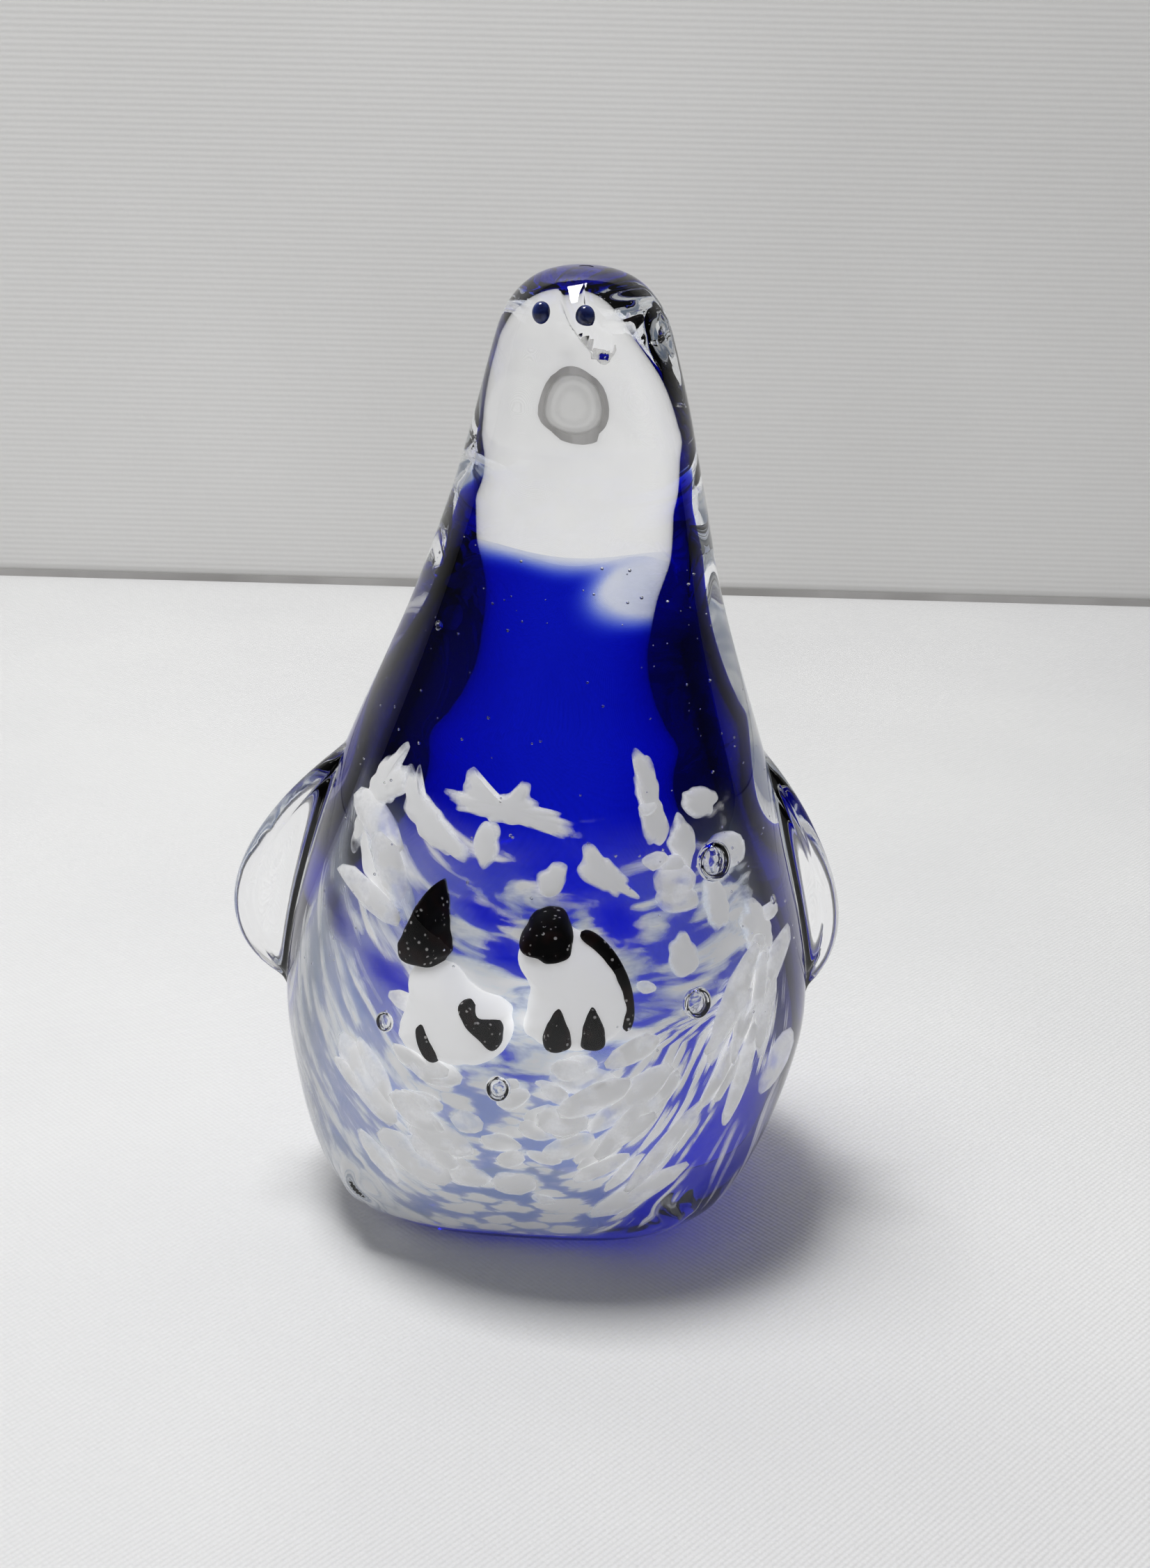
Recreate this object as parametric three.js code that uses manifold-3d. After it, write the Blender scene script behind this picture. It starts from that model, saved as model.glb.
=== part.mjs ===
// Glass penguin paperweight with two chicks in the snow, in millimetres.
// +Z is up, the penguin faces -Y, and the origin is the middle of the ground base.
// Azimuths are in degrees from the front, positive towards +X.
import * as THREE from 'three';
import { mergeVertices } from 'three/addons/utils/BufferGeometryUtils.js';
import Module from 'manifold-3d';

const wasm = await Module();
wasm.setup();

// Outside of the body: half width, half depth, rise from the station below, and sideways lean
const BASE_RADIUS = 26;
const BASE_DEPTH = 17.5;
const HEEL_RADIUS = 33.4;
const HEEL_DEPTH = 24.9;
const HEEL_RISE = 8;
const BELLY_RADIUS = 41.2;
const BELLY_DEPTH = 35.8;
const BELLY_RISE = 26;
const BELLY_LEAN = 1.2;
const CHEST_RADIUS = 35.6;
const CHEST_DEPTH = 31;
const CHEST_RISE = 32;
const CHEST_LEAN = 1.5;
const SHOULDER_RADIUS = 22.8;
const SHOULDER_DEPTH = 19.9;
const SHOULDER_RISE = 36;
const SHOULDER_LEAN = 3.6;
const NECK_RADIUS = 18.3;
const NECK_DEPTH = 16.1;
const NECK_RISE = 16;
const NECK_LEAN = 4.8;
const THROAT_RADIUS = 15.6;
const THROAT_DEPTH = 14.2;
const THROAT_RISE = 11;
const HEAD_RADIUS = 13.1;
const HEAD_DEPTH = 11.8;
const HEAD_RISE = 10;
const HEAD_LEAN = 5.2;
const CROWN_RISE = 11;
const CROWN_CURVE = [[0.94, 0.25], [0.84, 0.5], [0.53, 0.86], [0, 1]];

// Hand work on the turned body: how far its foot is squared, and how its head is turned, tilted back,
// bowed forwards at the crown and skewed at its back
const FOOT_SQUARENESS = 1;
const SQUARE_TOP = 30;
const FOOT_TURN = -5;
const HEAD_TURN = -30;
const TURN_START = 100;
const TURN_END = 145;
const NOD = 5;
const NOD_START = 95;
const BOW = 7;
const BOW_START = 115;
const SKEW = -0.008;
const SKEW_LEVEL = 127;
const SKEW_START = 112;
const SKEW_FULL = 132;
const SKEW_FADE = 8;

// Clear glass between the cobalt and the outside, at the same stations
const BASE_WALL = 4;
const HEEL_WALL = 7.5;
const BELLY_WALL = 13;
const CHEST_WALL = 14;
const SHOULDER_WALL = 9.5;
const NECK_WALL = 7.4;
const CORE_CROWN_RISE = 12;

// Cobalt overlay on the core: its top edge stands higher in front and lower along a bay on the right
const COBALT_DEPTH = 2;
const COBALT_EDGE_DEPTH = 0.6;
const COBALT_TAPER = 5;
const COBALT_FRONT = 110.3;
const COBALT_BACK = 105;
const BAY_FULL = 47;
const BAY_CLOSING = 143;
const BAY_FRONT_ROUND = 38;
const BAY_BACK_ROUND = 22;
const BAY_DEPTH = 10;

// White glass: a bed of crushed chips round the lower front, and loose flakes above it
const SNOW_DEPTH = 2.8;
const SNOW_EDGE_DEPTH = 1.2;
const SNOW_START = -125;
const SNOW_END = 95;
const SNOW_FOOT = 3;
const SNOW_CREST = 36.5;
const SNOW_RIGHT_LIFT = 8;
const SNOW_RIGHT_START = -20;
const SNOW_RIGHT_END = 52;
const SNOW_LEFT_LIFT = 14;
const SNOW_LEFT_START = 40;
const SNOW_LEFT_END = 80;
const SNOW_GAP_START = 16;
const SNOW_GAP_END = 62;
const SNOW_GAP_HEIGHT = 28;
const SNOW_RELIEF = 0.8;
const SNOW_LUMP = 11;
const FLAKE_DEPTH = 2.2;
const FLAKE_LEAF = [[-1, -0.2], [-0.35, 0.8], [0.4, 1], [1, 0.3], [0.5, -0.6], [-0.4, -1]];

// Chicks: outlines in millimetres round the middle of their feet, as deep as CHICK_DEPTH
const CHICK_DEPTH = 7.5;
const CHICK_HEAD_DEPTH = 6.2;
const FLIPPER_LIFT = 4.9;
const FLIPPER_DEPTH = 3.2;
const CHICK_FOOT_LIFT = 5.2;
const CHICK_FOOT_DEPTH = 3.2;
const STRIPE_RADIUS = 1.1;
const STRIPE_TIP_RADIUS = 0.8;
const STRIPE_LIFT = 3.6;
const LEFT_CHICK_AZIMUTH = -26;
const RIGHT_CHICK_AZIMUTH = 7.5;
const LEFT_CHICK_STEP = 1.9;
const RIGHT_CHICK_STEP = 5.5;

// Wings: flat fins at the sides, as deep as WING_DEPTH through the middle
const WING_DEPTH = 5.4;
const WING_ROOT = 4;
const WING_TOP = 78;
const WING_BOTTOM = 37;
const LEFT_WING_REACH = 10.2;
const RIGHT_WING_REACH = 6.6;
const WING_CURVE = [[0, 0.05], [0.14, 0.72], [0.34, 1], [0.64, 0.74], [1, 0.05]];

// Face and feet
const BEAK_REACH = 7.6;
const BEAK_SUNK = 3.4;
const BEAK_ROOT_RADIUS = 2.4;
const BEAK_TIP_RADIUS = 0.9;
const BEAK_TALL = 1.3;
const BEAK_DROOP = 38;
const BEAK_YAW = 24;
const BEAK_SIDE = -1.8;
const BEAK_RISE = 3.8;
const EYE_RADIUS = 1.3;
const EYE_RISE = 5.6;
const LEFT_EYE_AZIMUTH = -37;
const RIGHT_EYE_AZIMUTH = -3;
const FOOT_DEPTH = 2.6;
const FOOT_WIDTH = 8;
const FOOT_HEIGHT = 12;
const FOOT_MIDDLE = 11;
const FOOT_CURVE = [[-1, -0.7], [-0.7, 0.6], [0, 1], [0.7, 0.6], [1, -0.7], [0, -1]];
const LEFT_FOOT_AZIMUTH = -46;
const RIGHT_FOOT_AZIMUTH = 31;

// Clearances between neighbouring pieces
const GAP = 0.3;
const SNOW_GAP = 0.5;
const POCKET_GAP = 0.4;
const SHARPEST = 0.5;

// Facets
const ROUND_STEPS = 32;
const BODY_CURVE_STEPS = 3;
const CORE_CURVE_STEPS = 2;
const COBALT_ROWS = 9;
const SNOW_COLUMNS = 30;
const SNOW_ROWS = 7;
const THREAD_SIDES = 8;
const THREAD_STAGES = 10;
const BEAK_SIDES = 12;
const BEAK_STAGES = 3;
const EYE_COLUMNS = 10;
const EYE_ROWS = 8;
const WELD = 1e-4;
const FULL_TURN = 360;

const radians = THREE.MathUtils.degToRad;
const smooth = THREE.MathUtils.smoothstep;

// Stations of the outside, each [half width, lean, height], and of its depth, each [half depth, 0, height]
const heelZ = HEEL_RISE;
const bellyZ = heelZ + BELLY_RISE;
const chestZ = bellyZ + CHEST_RISE;
const shoulderZ = chestZ + SHOULDER_RISE;
const neckZ = shoulderZ + NECK_RISE;
const throatZ = neckZ + THROAT_RISE;
const headZ = throatZ + HEAD_RISE;
const crownZ = headZ + CROWN_RISE;
const bodyStations = [
  [BASE_RADIUS, 0, 0],
  [HEEL_RADIUS, 0, heelZ],
  [BELLY_RADIUS, BELLY_LEAN, bellyZ],
  [CHEST_RADIUS, CHEST_LEAN, chestZ],
  [SHOULDER_RADIUS, SHOULDER_LEAN, shoulderZ],
  [NECK_RADIUS, NECK_LEAN, neckZ],
  [THROAT_RADIUS, HEAD_LEAN, throatZ],
  [HEAD_RADIUS, HEAD_LEAN, headZ],
];
const depthStations = [
  [BASE_DEPTH, 0, 0],
  [HEEL_DEPTH, 0, heelZ],
  [BELLY_DEPTH, 0, bellyZ],
  [CHEST_DEPTH, 0, chestZ],
  [SHOULDER_DEPTH, 0, shoulderZ],
  [NECK_DEPTH, 0, neckZ],
  [THROAT_DEPTH, 0, throatZ],
  [HEAD_DEPTH, 0, headZ],
];
const cobaltStations = [
  [BASE_RADIUS - BASE_WALL, 0, 0],
  [HEEL_RADIUS - HEEL_WALL, 0, heelZ],
  [BELLY_RADIUS - BELLY_WALL, BELLY_LEAN, bellyZ],
  [CHEST_RADIUS - CHEST_WALL, CHEST_LEAN, chestZ],
  [SHOULDER_RADIUS - SHOULDER_WALL, SHOULDER_LEAN, shoulderZ],
  [NECK_RADIUS - NECK_WALL, NECK_LEAN, neckZ],
];

// A round crown from the last station up to the axis
function crownOver([radius, lean, height], rise) {
  return CROWN_CURVE.map(([across, up]) => [radius * across, lean, height + rise * up]);
}

// Smooth side through the stations, read back as points or as a value at a height
function sideThrough(stations, steps) {
  const points = stations.map((station) => new THREE.Vector3(...station));
  const curve = new THREE.CatmullRomCurve3(points, false, 'centripetal');
  const side = curve.getPoints((stations.length - 1) * steps);
  const top = side.length - 1;
  const valueAt = (key, height) => {
    const next = side.findIndex((point) => point.z >= height);
    if (next <= 0) {
      return side[next === 0 ? 0 : top][key];
    }
    const low = side[next - 1];
    const high = side[next];
    return THREE.MathUtils.mapLinear(height, low.z, high.z, low[key], high[key]);
  };
  return {
    profile: side.map((point) => new THREE.Vector2(Math.max(point.x, 0), point.z)),
    radiusAt: (height) => valueAt('x', height),
    leanAt: (height) => valueAt('y', height),
  };
}

const body = sideThrough(
  [...bodyStations, ...crownOver(bodyStations.at(-1), CROWN_RISE)],
  BODY_CURVE_STEPS,
);
const depth = sideThrough(
  [...depthStations, ...crownOver(depthStations.at(-1), CROWN_RISE)],
  BODY_CURVE_STEPS,
);
const cobalt = sideThrough(
  [...cobaltStations, ...crownOver(cobaltStations.at(-1), CORE_CROWN_RISE)],
  CORE_CURVE_STEPS,
);

function shareOf(value, low, high) {
  return THREE.MathUtils.clamp((value - low) / (high - low), 0, 1);
}

// A round shape as the hand-worked body has it: flattened, squared at the foot, turned, bowed and leaning
function shaped(geometry) {
  const position = geometry.attributes.position;
  for (let k = 0; k < position.count; k += 1) {
    const [x, y, z] = [position.getX(k), position.getY(k), position.getZ(k)];
    const turn = radians(THREE.MathUtils.lerp(FOOT_TURN, HEAD_TURN, smooth(z, TURN_START, TURN_END)));
    const side = x * Math.cos(turn) + y * Math.sin(turn);
    const front = x * Math.sin(turn) - y * Math.cos(turn);
    const power = 2 + FOOT_SQUARENESS * (1 - smooth(z, 0, SQUARE_TOP));
    const corner = Math.hypot(side, front)
      / (Math.abs(side) ** power + Math.abs(front) ** power + WELD ** power) ** (1 / power);
    const level = Math.min(z, headZ + CROWN_RISE / 2);
    const flat = depth.radiusAt(level) / body.radiusAt(level);
    const wide = side * corner;
    const deep = front * corner * flat;
    const nod = NOD * shareOf(z, NOD_START, crownZ) ** 2 - BOW * shareOf(z, BOW_START, crownZ) ** 3;
    const behind = smooth(z, SKEW_START, SKEW_FULL) * smooth(-deep, 0, SKEW_FADE);
    const skew = SKEW * wide * (z - SKEW_LEVEL) * behind;
    position.setXYZ(
      k,
      wide * Math.cos(turn) + deep * Math.sin(turn) + body.leanAt(z),
      wide * Math.sin(turn) - deep * Math.cos(turn) + nod + skew,
      z,
    );
  }
  return geometry;
}

// A closed geometry as indexed positions alone, with its faces pointing out
function closed(geometry) {
  for (const name of Object.keys(geometry.attributes)) {
    if (name !== 'position') {
      geometry.deleteAttribute(name);
    }
  }
  const merged = mergeVertices(geometry, WELD);
  const position = merged.attributes.position;
  const corners = [...merged.index.array];
  const kept = [];
  let volume = 0;
  for (let i = 0; i < corners.length; i += 3) {
    const triangle = corners.slice(i, i + 3);
    if (new Set(triangle).size === 3) {
      kept.push(...triangle);
      const [a, b, c] = triangle.map((k) => new THREE.Vector3().fromBufferAttribute(position, k));
      volume += a.dot(b.cross(c));
    }
  }
  merged.setIndex(volume < 0 ? kept.reverse() : kept);
  return merged;
}

function solid(geometry) {
  const shape = closed(geometry);
  return new wasm.Manifold(new wasm.Mesh({
    numProp: 3,
    vertProperties: new Float32Array(shape.attributes.position.array),
    triVerts: new Uint32Array(shape.index.array),
  }));
}

// The same shape with every face moved outwards, for the pocket that it lies in.
// A corner moves far enough for all its faces, up to the limit of a sharp edge.
function grown(geometry, distance) {
  const shape = closed(geometry.clone());
  const position = shape.attributes.position;
  const points = Array.from({ length: position.count }, (_, k) => (
    new THREE.Vector3().fromBufferAttribute(position, k)
  ));
  const faceNormals = points.map(() => []);
  for (let i = 0; i < shape.index.count; i += 3) {
    const corners = Array.from(shape.index.array.slice(i, i + 3));
    const face = new THREE.Triangle(...corners.map((k) => points[k]));
    corners.forEach((k) => faceNormals[k].push(face.getNormal(new THREE.Vector3())));
  }
  points.forEach((point, k) => {
    const normal = new THREE.Vector3();
    faceNormals[k].forEach((faceNormal) => normal.add(faceNormal));
    normal.normalize();
    const least = Math.min(...faceNormals[k].map((faceNormal) => faceNormal.dot(normal)));
    const moved = point.clone().addScaledVector(normal, distance / Math.max(least, SHARPEST));
    position.setXYZ(k, moved.x, moved.y, moved.z);
  });
  return shape;
}

// A shape with pockets for its neighbours, less any slivers of glass left between two pockets
function carved(geometry, neighbours, gap) {
  let shape = solid(geometry);
  for (const neighbour of neighbours) {
    shape = shape.subtract(solid(grown(neighbour, gap)));
  }
  return shape.decompose().reduce((most, part) => (part.volume() > most.volume() ? part : most));
}

// A turned shape, from its outside profile
function turned(profile) {
  const axisToAxis = [new THREE.Vector2(0, profile[0].y), ...profile];
  axisToAxis.at(-1).x = 0;
  return new THREE.LatheGeometry(axisToAxis, ROUND_STEPS).rotateX(Math.PI / 2);
}

function geometryFrom(vertices, triangles) {
  const geometry = new THREE.BufferGeometry();
  geometry.setAttribute('position', new THREE.Float32BufferAttribute(vertices.flat(), 3));
  geometry.setIndex(triangles.flat());
  return geometry;
}

// Point at a radius, azimuth in radians and height
function pointAt(radius, angle, height) {
  return [radius * Math.sin(angle), -radius * Math.cos(angle), height];
}

// A curved plate between two radii, over a range of azimuth and from a low to a high edge
function plate({ start, end, across, up, low, high, inner, outer }) {
  const vertices = [];
  const triangles = [];
  const index = (i, j, k) => (i * (up + 1) + j) * 2 + k;
  for (let i = 0; i <= across; i += 1) {
    const azimuth = THREE.MathUtils.mapLinear(i, 0, across, start, end);
    for (let j = 0; j <= up; j += 1) {
      const height = THREE.MathUtils.mapLinear(j, 0, up, low(azimuth), high(azimuth));
      for (const radius of [inner(azimuth, height), outer(azimuth, height)]) {
        vertices.push(pointAt(radius, radians(azimuth), height));
      }
    }
  }
  const quad = (a, b, c, d) => triangles.push([a, b, c], [a, c, d]);
  for (let i = 0; i < across; i += 1) {
    for (let j = 0; j < up; j += 1) {
      quad(index(i, j, 1), index(i + 1, j, 1), index(i + 1, j + 1, 1), index(i, j + 1, 1));
      quad(index(i, j, 0), index(i, j + 1, 0), index(i + 1, j + 1, 0), index(i + 1, j, 0));
    }
    quad(index(i, 0, 0), index(i + 1, 0, 0), index(i + 1, 0, 1), index(i, 0, 1));
    quad(index(i, up, 0), index(i, up, 1), index(i + 1, up, 1), index(i + 1, up, 0));
  }
  if (end - start < FULL_TURN) {
    for (let j = 0; j < up; j += 1) {
      quad(index(0, j, 0), index(0, j, 1), index(0, j + 1, 1), index(0, j + 1, 0));
      quad(index(across, j, 0), index(across, j + 1, 0), index(across, j + 1, 1), index(across, j, 1));
    }
  }
  return geometryFrom(vertices, triangles);
}

// A pebble: a rounded outline that swells to a front depth, and to a back depth where it has one.
// place turns its across, up and out into a point of the model.
function pebble({ outline, front, back = 0, lift = 0, steps = 12, rings = 2, place }) {
  const corners = outline.map(([across, up]) => new THREE.Vector3(across, up, 0));
  const rim = new THREE.CatmullRomCurve3(corners, true, 'centripetal').getPoints(steps).slice(0, -1);
  const middle = new THREE.Vector3();
  rim.forEach((point) => middle.addScaledVector(point, 1 / steps));
  const vertices = [];
  const triangles = [];
  const addRing = (share, out) => {
    rim.forEach((point) => {
      const at = middle.clone().lerp(point, share);
      vertices.push(place(at.x, at.y, lift + out));
    });
  };
  const levels = [];
  for (let ring = rings - 1; ring > 0; ring -= 1) {
    const angle = (ring / rings) * (Math.PI / 2);
    levels.push([back > 0 ? Math.sqrt(Math.cos(angle)) : 1 - ring / rings, -back * Math.sin(angle)]);
  }
  levels.push([1, 0]);
  for (let ring = 1; ring < rings; ring += 1) {
    const angle = (ring / rings) * (Math.PI / 2);
    levels.push([Math.sqrt(Math.cos(angle)), front * Math.sin(angle)]);
  }
  levels.forEach(([share, out]) => addRing(share, out));
  const backPole = vertices.push(place(middle.x, middle.y, lift - back)) - 1;
  const frontPole = vertices.push(place(middle.x, middle.y, lift + front)) - 1;
  const lastRing = (levels.length - 1) * steps;
  for (let k = 0; k < steps; k += 1) {
    const next = (k + 1) % steps;
    triangles.push([backPole, next, k], [frontPole, lastRing + k, lastRing + next]);
    for (let level = 0; level < levels.length - 1; level += 1) {
      const low = level * steps;
      const high = low + steps;
      triangles.push([low + k, low + next, high + next], [low + k, high + next, high + k]);
    }
  }
  return geometryFrom(vertices, triangles);
}

// A round bit drawn out along a curve, from a root radius to a tip radius
function drawnBit(points, rootRadius, tipRadius, sides, stages) {
  const curve = new THREE.CatmullRomCurve3(points.map((point) => new THREE.Vector3(...point)));
  const frames = curve.computeFrenetFrames(stages);
  const vertices = [];
  const triangles = [];
  for (let stage = 0; stage <= stages; stage += 1) {
    const middle = curve.getPointAt(stage / stages);
    const radius = THREE.MathUtils.lerp(rootRadius, tipRadius, stage / stages);
    for (let k = 0; k < sides; k += 1) {
      const angle = (k / sides) * 2 * Math.PI;
      const point = middle.clone();
      point.addScaledVector(frames.normals[stage], radius * Math.cos(angle));
      point.addScaledVector(frames.binormals[stage], radius * Math.sin(angle));
      vertices.push(point.toArray());
    }
  }
  const root = vertices.push(curve.getPointAt(0).toArray()) - 1;
  const end = curve.getPointAt(1).addScaledVector(frames.tangents[stages], tipRadius);
  const tip = vertices.push(end.toArray()) - 1;
  const last = stages * sides;
  for (let k = 0; k < sides; k += 1) {
    const next = (k + 1) % sides;
    triangles.push([root, next, k], [tip, last + k, last + next]);
    for (let low = 0; low < last; low += sides) {
      const high = low + sides;
      triangles.push([low + k, low + next, high + next], [low + k, high + next, high + k]);
    }
  }
  return geometryFrom(vertices, triangles);
}

// Placing on a round side: across runs along the arc, up is height and out is away from the axis
function seatOn(side, azimuth, height, clearance) {
  const arc = side.radiusAt(height) + clearance;
  return (across, up, out) => {
    const radius = side.radiusAt(height + up) + clearance + out;
    return pointAt(radius, radians(azimuth) + across / arc, height + up);
  };
}

function turnedOutline(points, degrees) {
  const turn = radians(degrees);
  return points.map(([across, up]) => [
    across * Math.cos(turn) - up * Math.sin(turn),
    across * Math.sin(turn) + up * Math.cos(turn),
  ]);
}

const GLASS = { color: 0xe4ecea, roughness: 0.05, transparent: true, opacity: 0.35 };
const COBALT = { color: 0x0b1ba0, roughness: 0.05 };
const NAVY = { color: 0x0a1046, roughness: 0.1 };
const WHITE = { color: 0xe9e9e6, roughness: 0.35 };
const BLACK = { color: 0x0d0b0d, roughness: 0.25 };

const penguin = new THREE.Group();

// Adds a finished solid as a named piece
function addPiece(name, shape, finish) {
  const mesh = shape.getMesh();
  const geometry = geometryFrom([Array.from(mesh.vertProperties)], [Array.from(mesh.triVerts)]);
  geometry.computeVertexNormals();
  const piece = new THREE.Mesh(geometry, new THREE.MeshStandardMaterial({ metalness: 0, ...finish }));
  piece.name = name;
  penguin.add(piece);
}

// First gather: the core with the cobalt overlay let into its side
const gather = shaped(turned(cobalt.profile));

// The edge drops round a quarter of an ellipse at each end of the bay
function cobaltTop(azimuth) {
  const middle = (COBALT_FRONT + COBALT_BACK) / 2;
  const tilt = (COBALT_FRONT - COBALT_BACK) / 2;
  const before = Math.max(BAY_FULL - azimuth, 0) / BAY_FRONT_ROUND;
  const after = Math.max(azimuth - BAY_CLOSING, 0) / BAY_BACK_ROUND;
  const bay = Math.sqrt(Math.max(1 - (before + after) ** 2, 0));
  return middle + tilt * Math.cos(radians(azimuth)) - BAY_DEPTH * bay;
}

function cobaltDepth(azimuth, height) {
  const share = smooth(cobaltTop(azimuth) - height, 0, COBALT_TAPER);
  return THREE.MathUtils.lerp(COBALT_EDGE_DEPTH, COBALT_DEPTH, share);
}

const cobaltWrap = shaped(plate({
  start: -FULL_TURN / 2,
  end: FULL_TURN / 2,
  across: ROUND_STEPS,
  up: COBALT_ROWS,
  low: () => 0,
  high: cobaltTop,
  inner: (azimuth, height) => cobalt.radiusAt(height) - cobaltDepth(azimuth, height),
  outer: (azimuth, height) => cobalt.radiusAt(height),
}));

// Crushed white glass round the lower front, climbing away from the base on the right
function snowFoot(azimuth) {
  return SNOW_FOOT + (SNOW_GAP_HEIGHT - SNOW_FOOT) * smooth(azimuth, SNOW_GAP_START, SNOW_GAP_END);
}

function snowCrest(azimuth) {
  const right = SNOW_RIGHT_LIFT * smooth(azimuth, SNOW_RIGHT_START, SNOW_RIGHT_END);
  const left = SNOW_LEFT_LIFT * smooth(-azimuth, SNOW_LEFT_START, SNOW_LEFT_END);
  return SNOW_CREST + right + left;
}

// Lumps of chips, SNOW_LUMP apart, on a bed that is deepest halfway up
function snowDepth(azimuth, height) {
  const foot = snowFoot(azimuth);
  const share = (height - foot) / (snowCrest(azimuth) - foot);
  const swell = Math.sin(Math.PI * THREE.MathUtils.clamp(share, 0, 1));
  const along = radians(azimuth) * (BELLY_RADIUS - BELLY_WALL);
  const wave = (distance) => Math.sin((2 * Math.PI * distance) / SNOW_LUMP);
  const lumps = SNOW_RELIEF * wave(along) * wave(height) * swell;
  return THREE.MathUtils.lerp(SNOW_EDGE_DEPTH, SNOW_DEPTH, swell) + lumps;
}

const snowBed = shaped(plate({
  start: SNOW_START,
  end: SNOW_END,
  across: SNOW_COLUMNS,
  up: SNOW_ROWS,
  low: snowFoot,
  high: snowCrest,
  inner: (azimuth, height) => cobalt.radiusAt(height) + SNOW_GAP,
  outer: (azimuth, height) => cobalt.radiusAt(height) + SNOW_GAP + snowDepth(azimuth, height),
}));

// Loose white flakes on the cobalt: [azimuth, rise over the snow, length, width, turn]
const flakes = [
  [-82, 34, 14, 6, 65],
  [-49, 35, 14.5, 5, -36],
  [-15, 38.5, 18, 4.6, -12],
  [19, 29.9, 9, 4, -50],
  [37.5, 38.7, 12, 4.4, 85],
  [64.5, 36.1, 7, 4, -8],
  [51, 30.3, 7.5, 4.5, 70],
  [62, 20.9, 7.4, 4.4, 80],
  [43.5, 15.7, 5.6, 5, 0],
  [81.5, 13.1, 9, 6.5, 80],
  [-68.5, 24.1, 12, 4, -28],
  [-23.5, 33, 6, 3.2, 80],
  [0, 28.8, 4.4, 3.6, 20],
];

function flakeGeometry([azimuth, rise, length, width, turn]) {
  const leaf = FLAKE_LEAF.map(([along, across]) => [(along * length) / 2, (across * width) / 2]);
  return pebble({
    outline: turnedOutline(leaf, turn),
    front: FLAKE_DEPTH,
    steps: 10,
    rings: 2,
    place: seatOn(cobalt, azimuth, SNOW_CREST + rise, GAP),
  });
}

const flakeGeometries = flakes.map((flake) => shaped(flakeGeometry(flake)));

// Chicks: each part has an outline, a depth and, where it lies on another part, a lift
const leftSeat = seatOn(cobalt, LEFT_CHICK_AZIMUTH, SNOW_CREST + LEFT_CHICK_STEP, GAP);
const rightSeat = seatOn(cobalt, RIGHT_CHICK_AZIMUTH, SNOW_CREST + RIGHT_CHICK_STEP, GAP);

const chickParts = {
  left_chick_body: {
    outline: [[-7.1, 1.7], [-6.4, 7.8], [-6.2, 13], [-1.6, 13.4], [2.8, 10.4], [7.2, 9], [7.8, 4.4],
      [5.2, 0.5], [-2.9, -0.4]],
    front: CHICK_DEPTH,
    steps: 18,
    rings: 3,
    place: leftSeat,
    finish: WHITE,
    inlaid: ['left_chick_head', 'left_chick_near_flipper', 'left_chick_far_flipper'],
  },
  left_chick_head: {
    outline: [[-8.6, 13.6], [-8.2, 18.8], [-5.6, 24.6], [-3.4, 20], [-2.4, 14.4], [-5.4, 12.4]],
    front: CHICK_HEAD_DEPTH,
    rings: 3,
    place: leftSeat,
    finish: BLACK,
  },
  left_chick_near_flipper: {
    outline: [[-3.4, 5.8], [-2.5, 6.7], [-1.5, 5], [-0.3, 1.8], [-0.6, 0.2], [-1.7, 0.8], [-2.9, 3.2]],
    front: FLIPPER_DEPTH,
    lift: FLIPPER_LIFT,
    place: leftSeat,
    finish: BLACK,
  },
  left_chick_far_flipper: {
    outline: [[1.6, 9.6], [2.8, 10.4], [4.4, 8.6], [7, 7.8], [7.2, 5.2], [6.2, 3.7], [4.8, 5], [2.4, 7.4]],
    front: FLIPPER_DEPTH,
    lift: FLIPPER_LIFT,
    place: leftSeat,
    finish: BLACK,
  },
  right_chick_body: {
    outline: [[-6.6, 1.9], [-6.1, 8.5], [-8, 13], [-5.4, 15.4], [-0.6, 16.8], [3.8, 13.4], [6.2, 8.8],
      [6.3, 2.8], [3, -0.2], [-3, -0.2]],
    front: CHICK_DEPTH,
    steps: 20,
    rings: 3,
    place: rightSeat,
    finish: WHITE,
    inlaid: ['right_chick_head', 'right_chick_back_stripe', 'right_chick_left_foot',
      'right_chick_right_foot'],
  },
  right_chick_head: {
    outline: [[-7.7, 14.8], [-6.5, 18.3], [-4.2, 19.4], [-1.8, 19.4], [-0.3, 17.4], [-0.4, 13.6],
      [-2.7, 12.3], [-5.7, 13.3]],
    front: CHICK_HEAD_DEPTH,
    rings: 3,
    place: rightSeat,
    finish: BLACK,
  },
  right_chick_back_stripe: {
    thread: [[1.4, 16.6], [3.4, 14.8], [5.2, 12.2], [6.4, 8.6], [6.6, 4.6], [6.1, 2]],
    place: rightSeat,
    finish: BLACK,
  },
  right_chick_left_foot: {
    outline: [[-4.2, 1.2], [-3.8, 5.6], [-2.5, 7.8], [-1.5, 5.6], [-1.2, 1.2], [-2.6, 0.5]],
    front: CHICK_FOOT_DEPTH,
    lift: CHICK_FOOT_LIFT,
    place: rightSeat,
    finish: BLACK,
  },
  right_chick_right_foot: {
    outline: [[0.1, 1.2], [0.3, 5.8], [1.3, 8], [2.3, 5.8], [2.8, 1.2], [1.4, 0.5]],
    front: CHICK_FOOT_DEPTH,
    lift: CHICK_FOOT_LIFT,
    place: rightSeat,
    finish: BLACK,
  },
};

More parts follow.
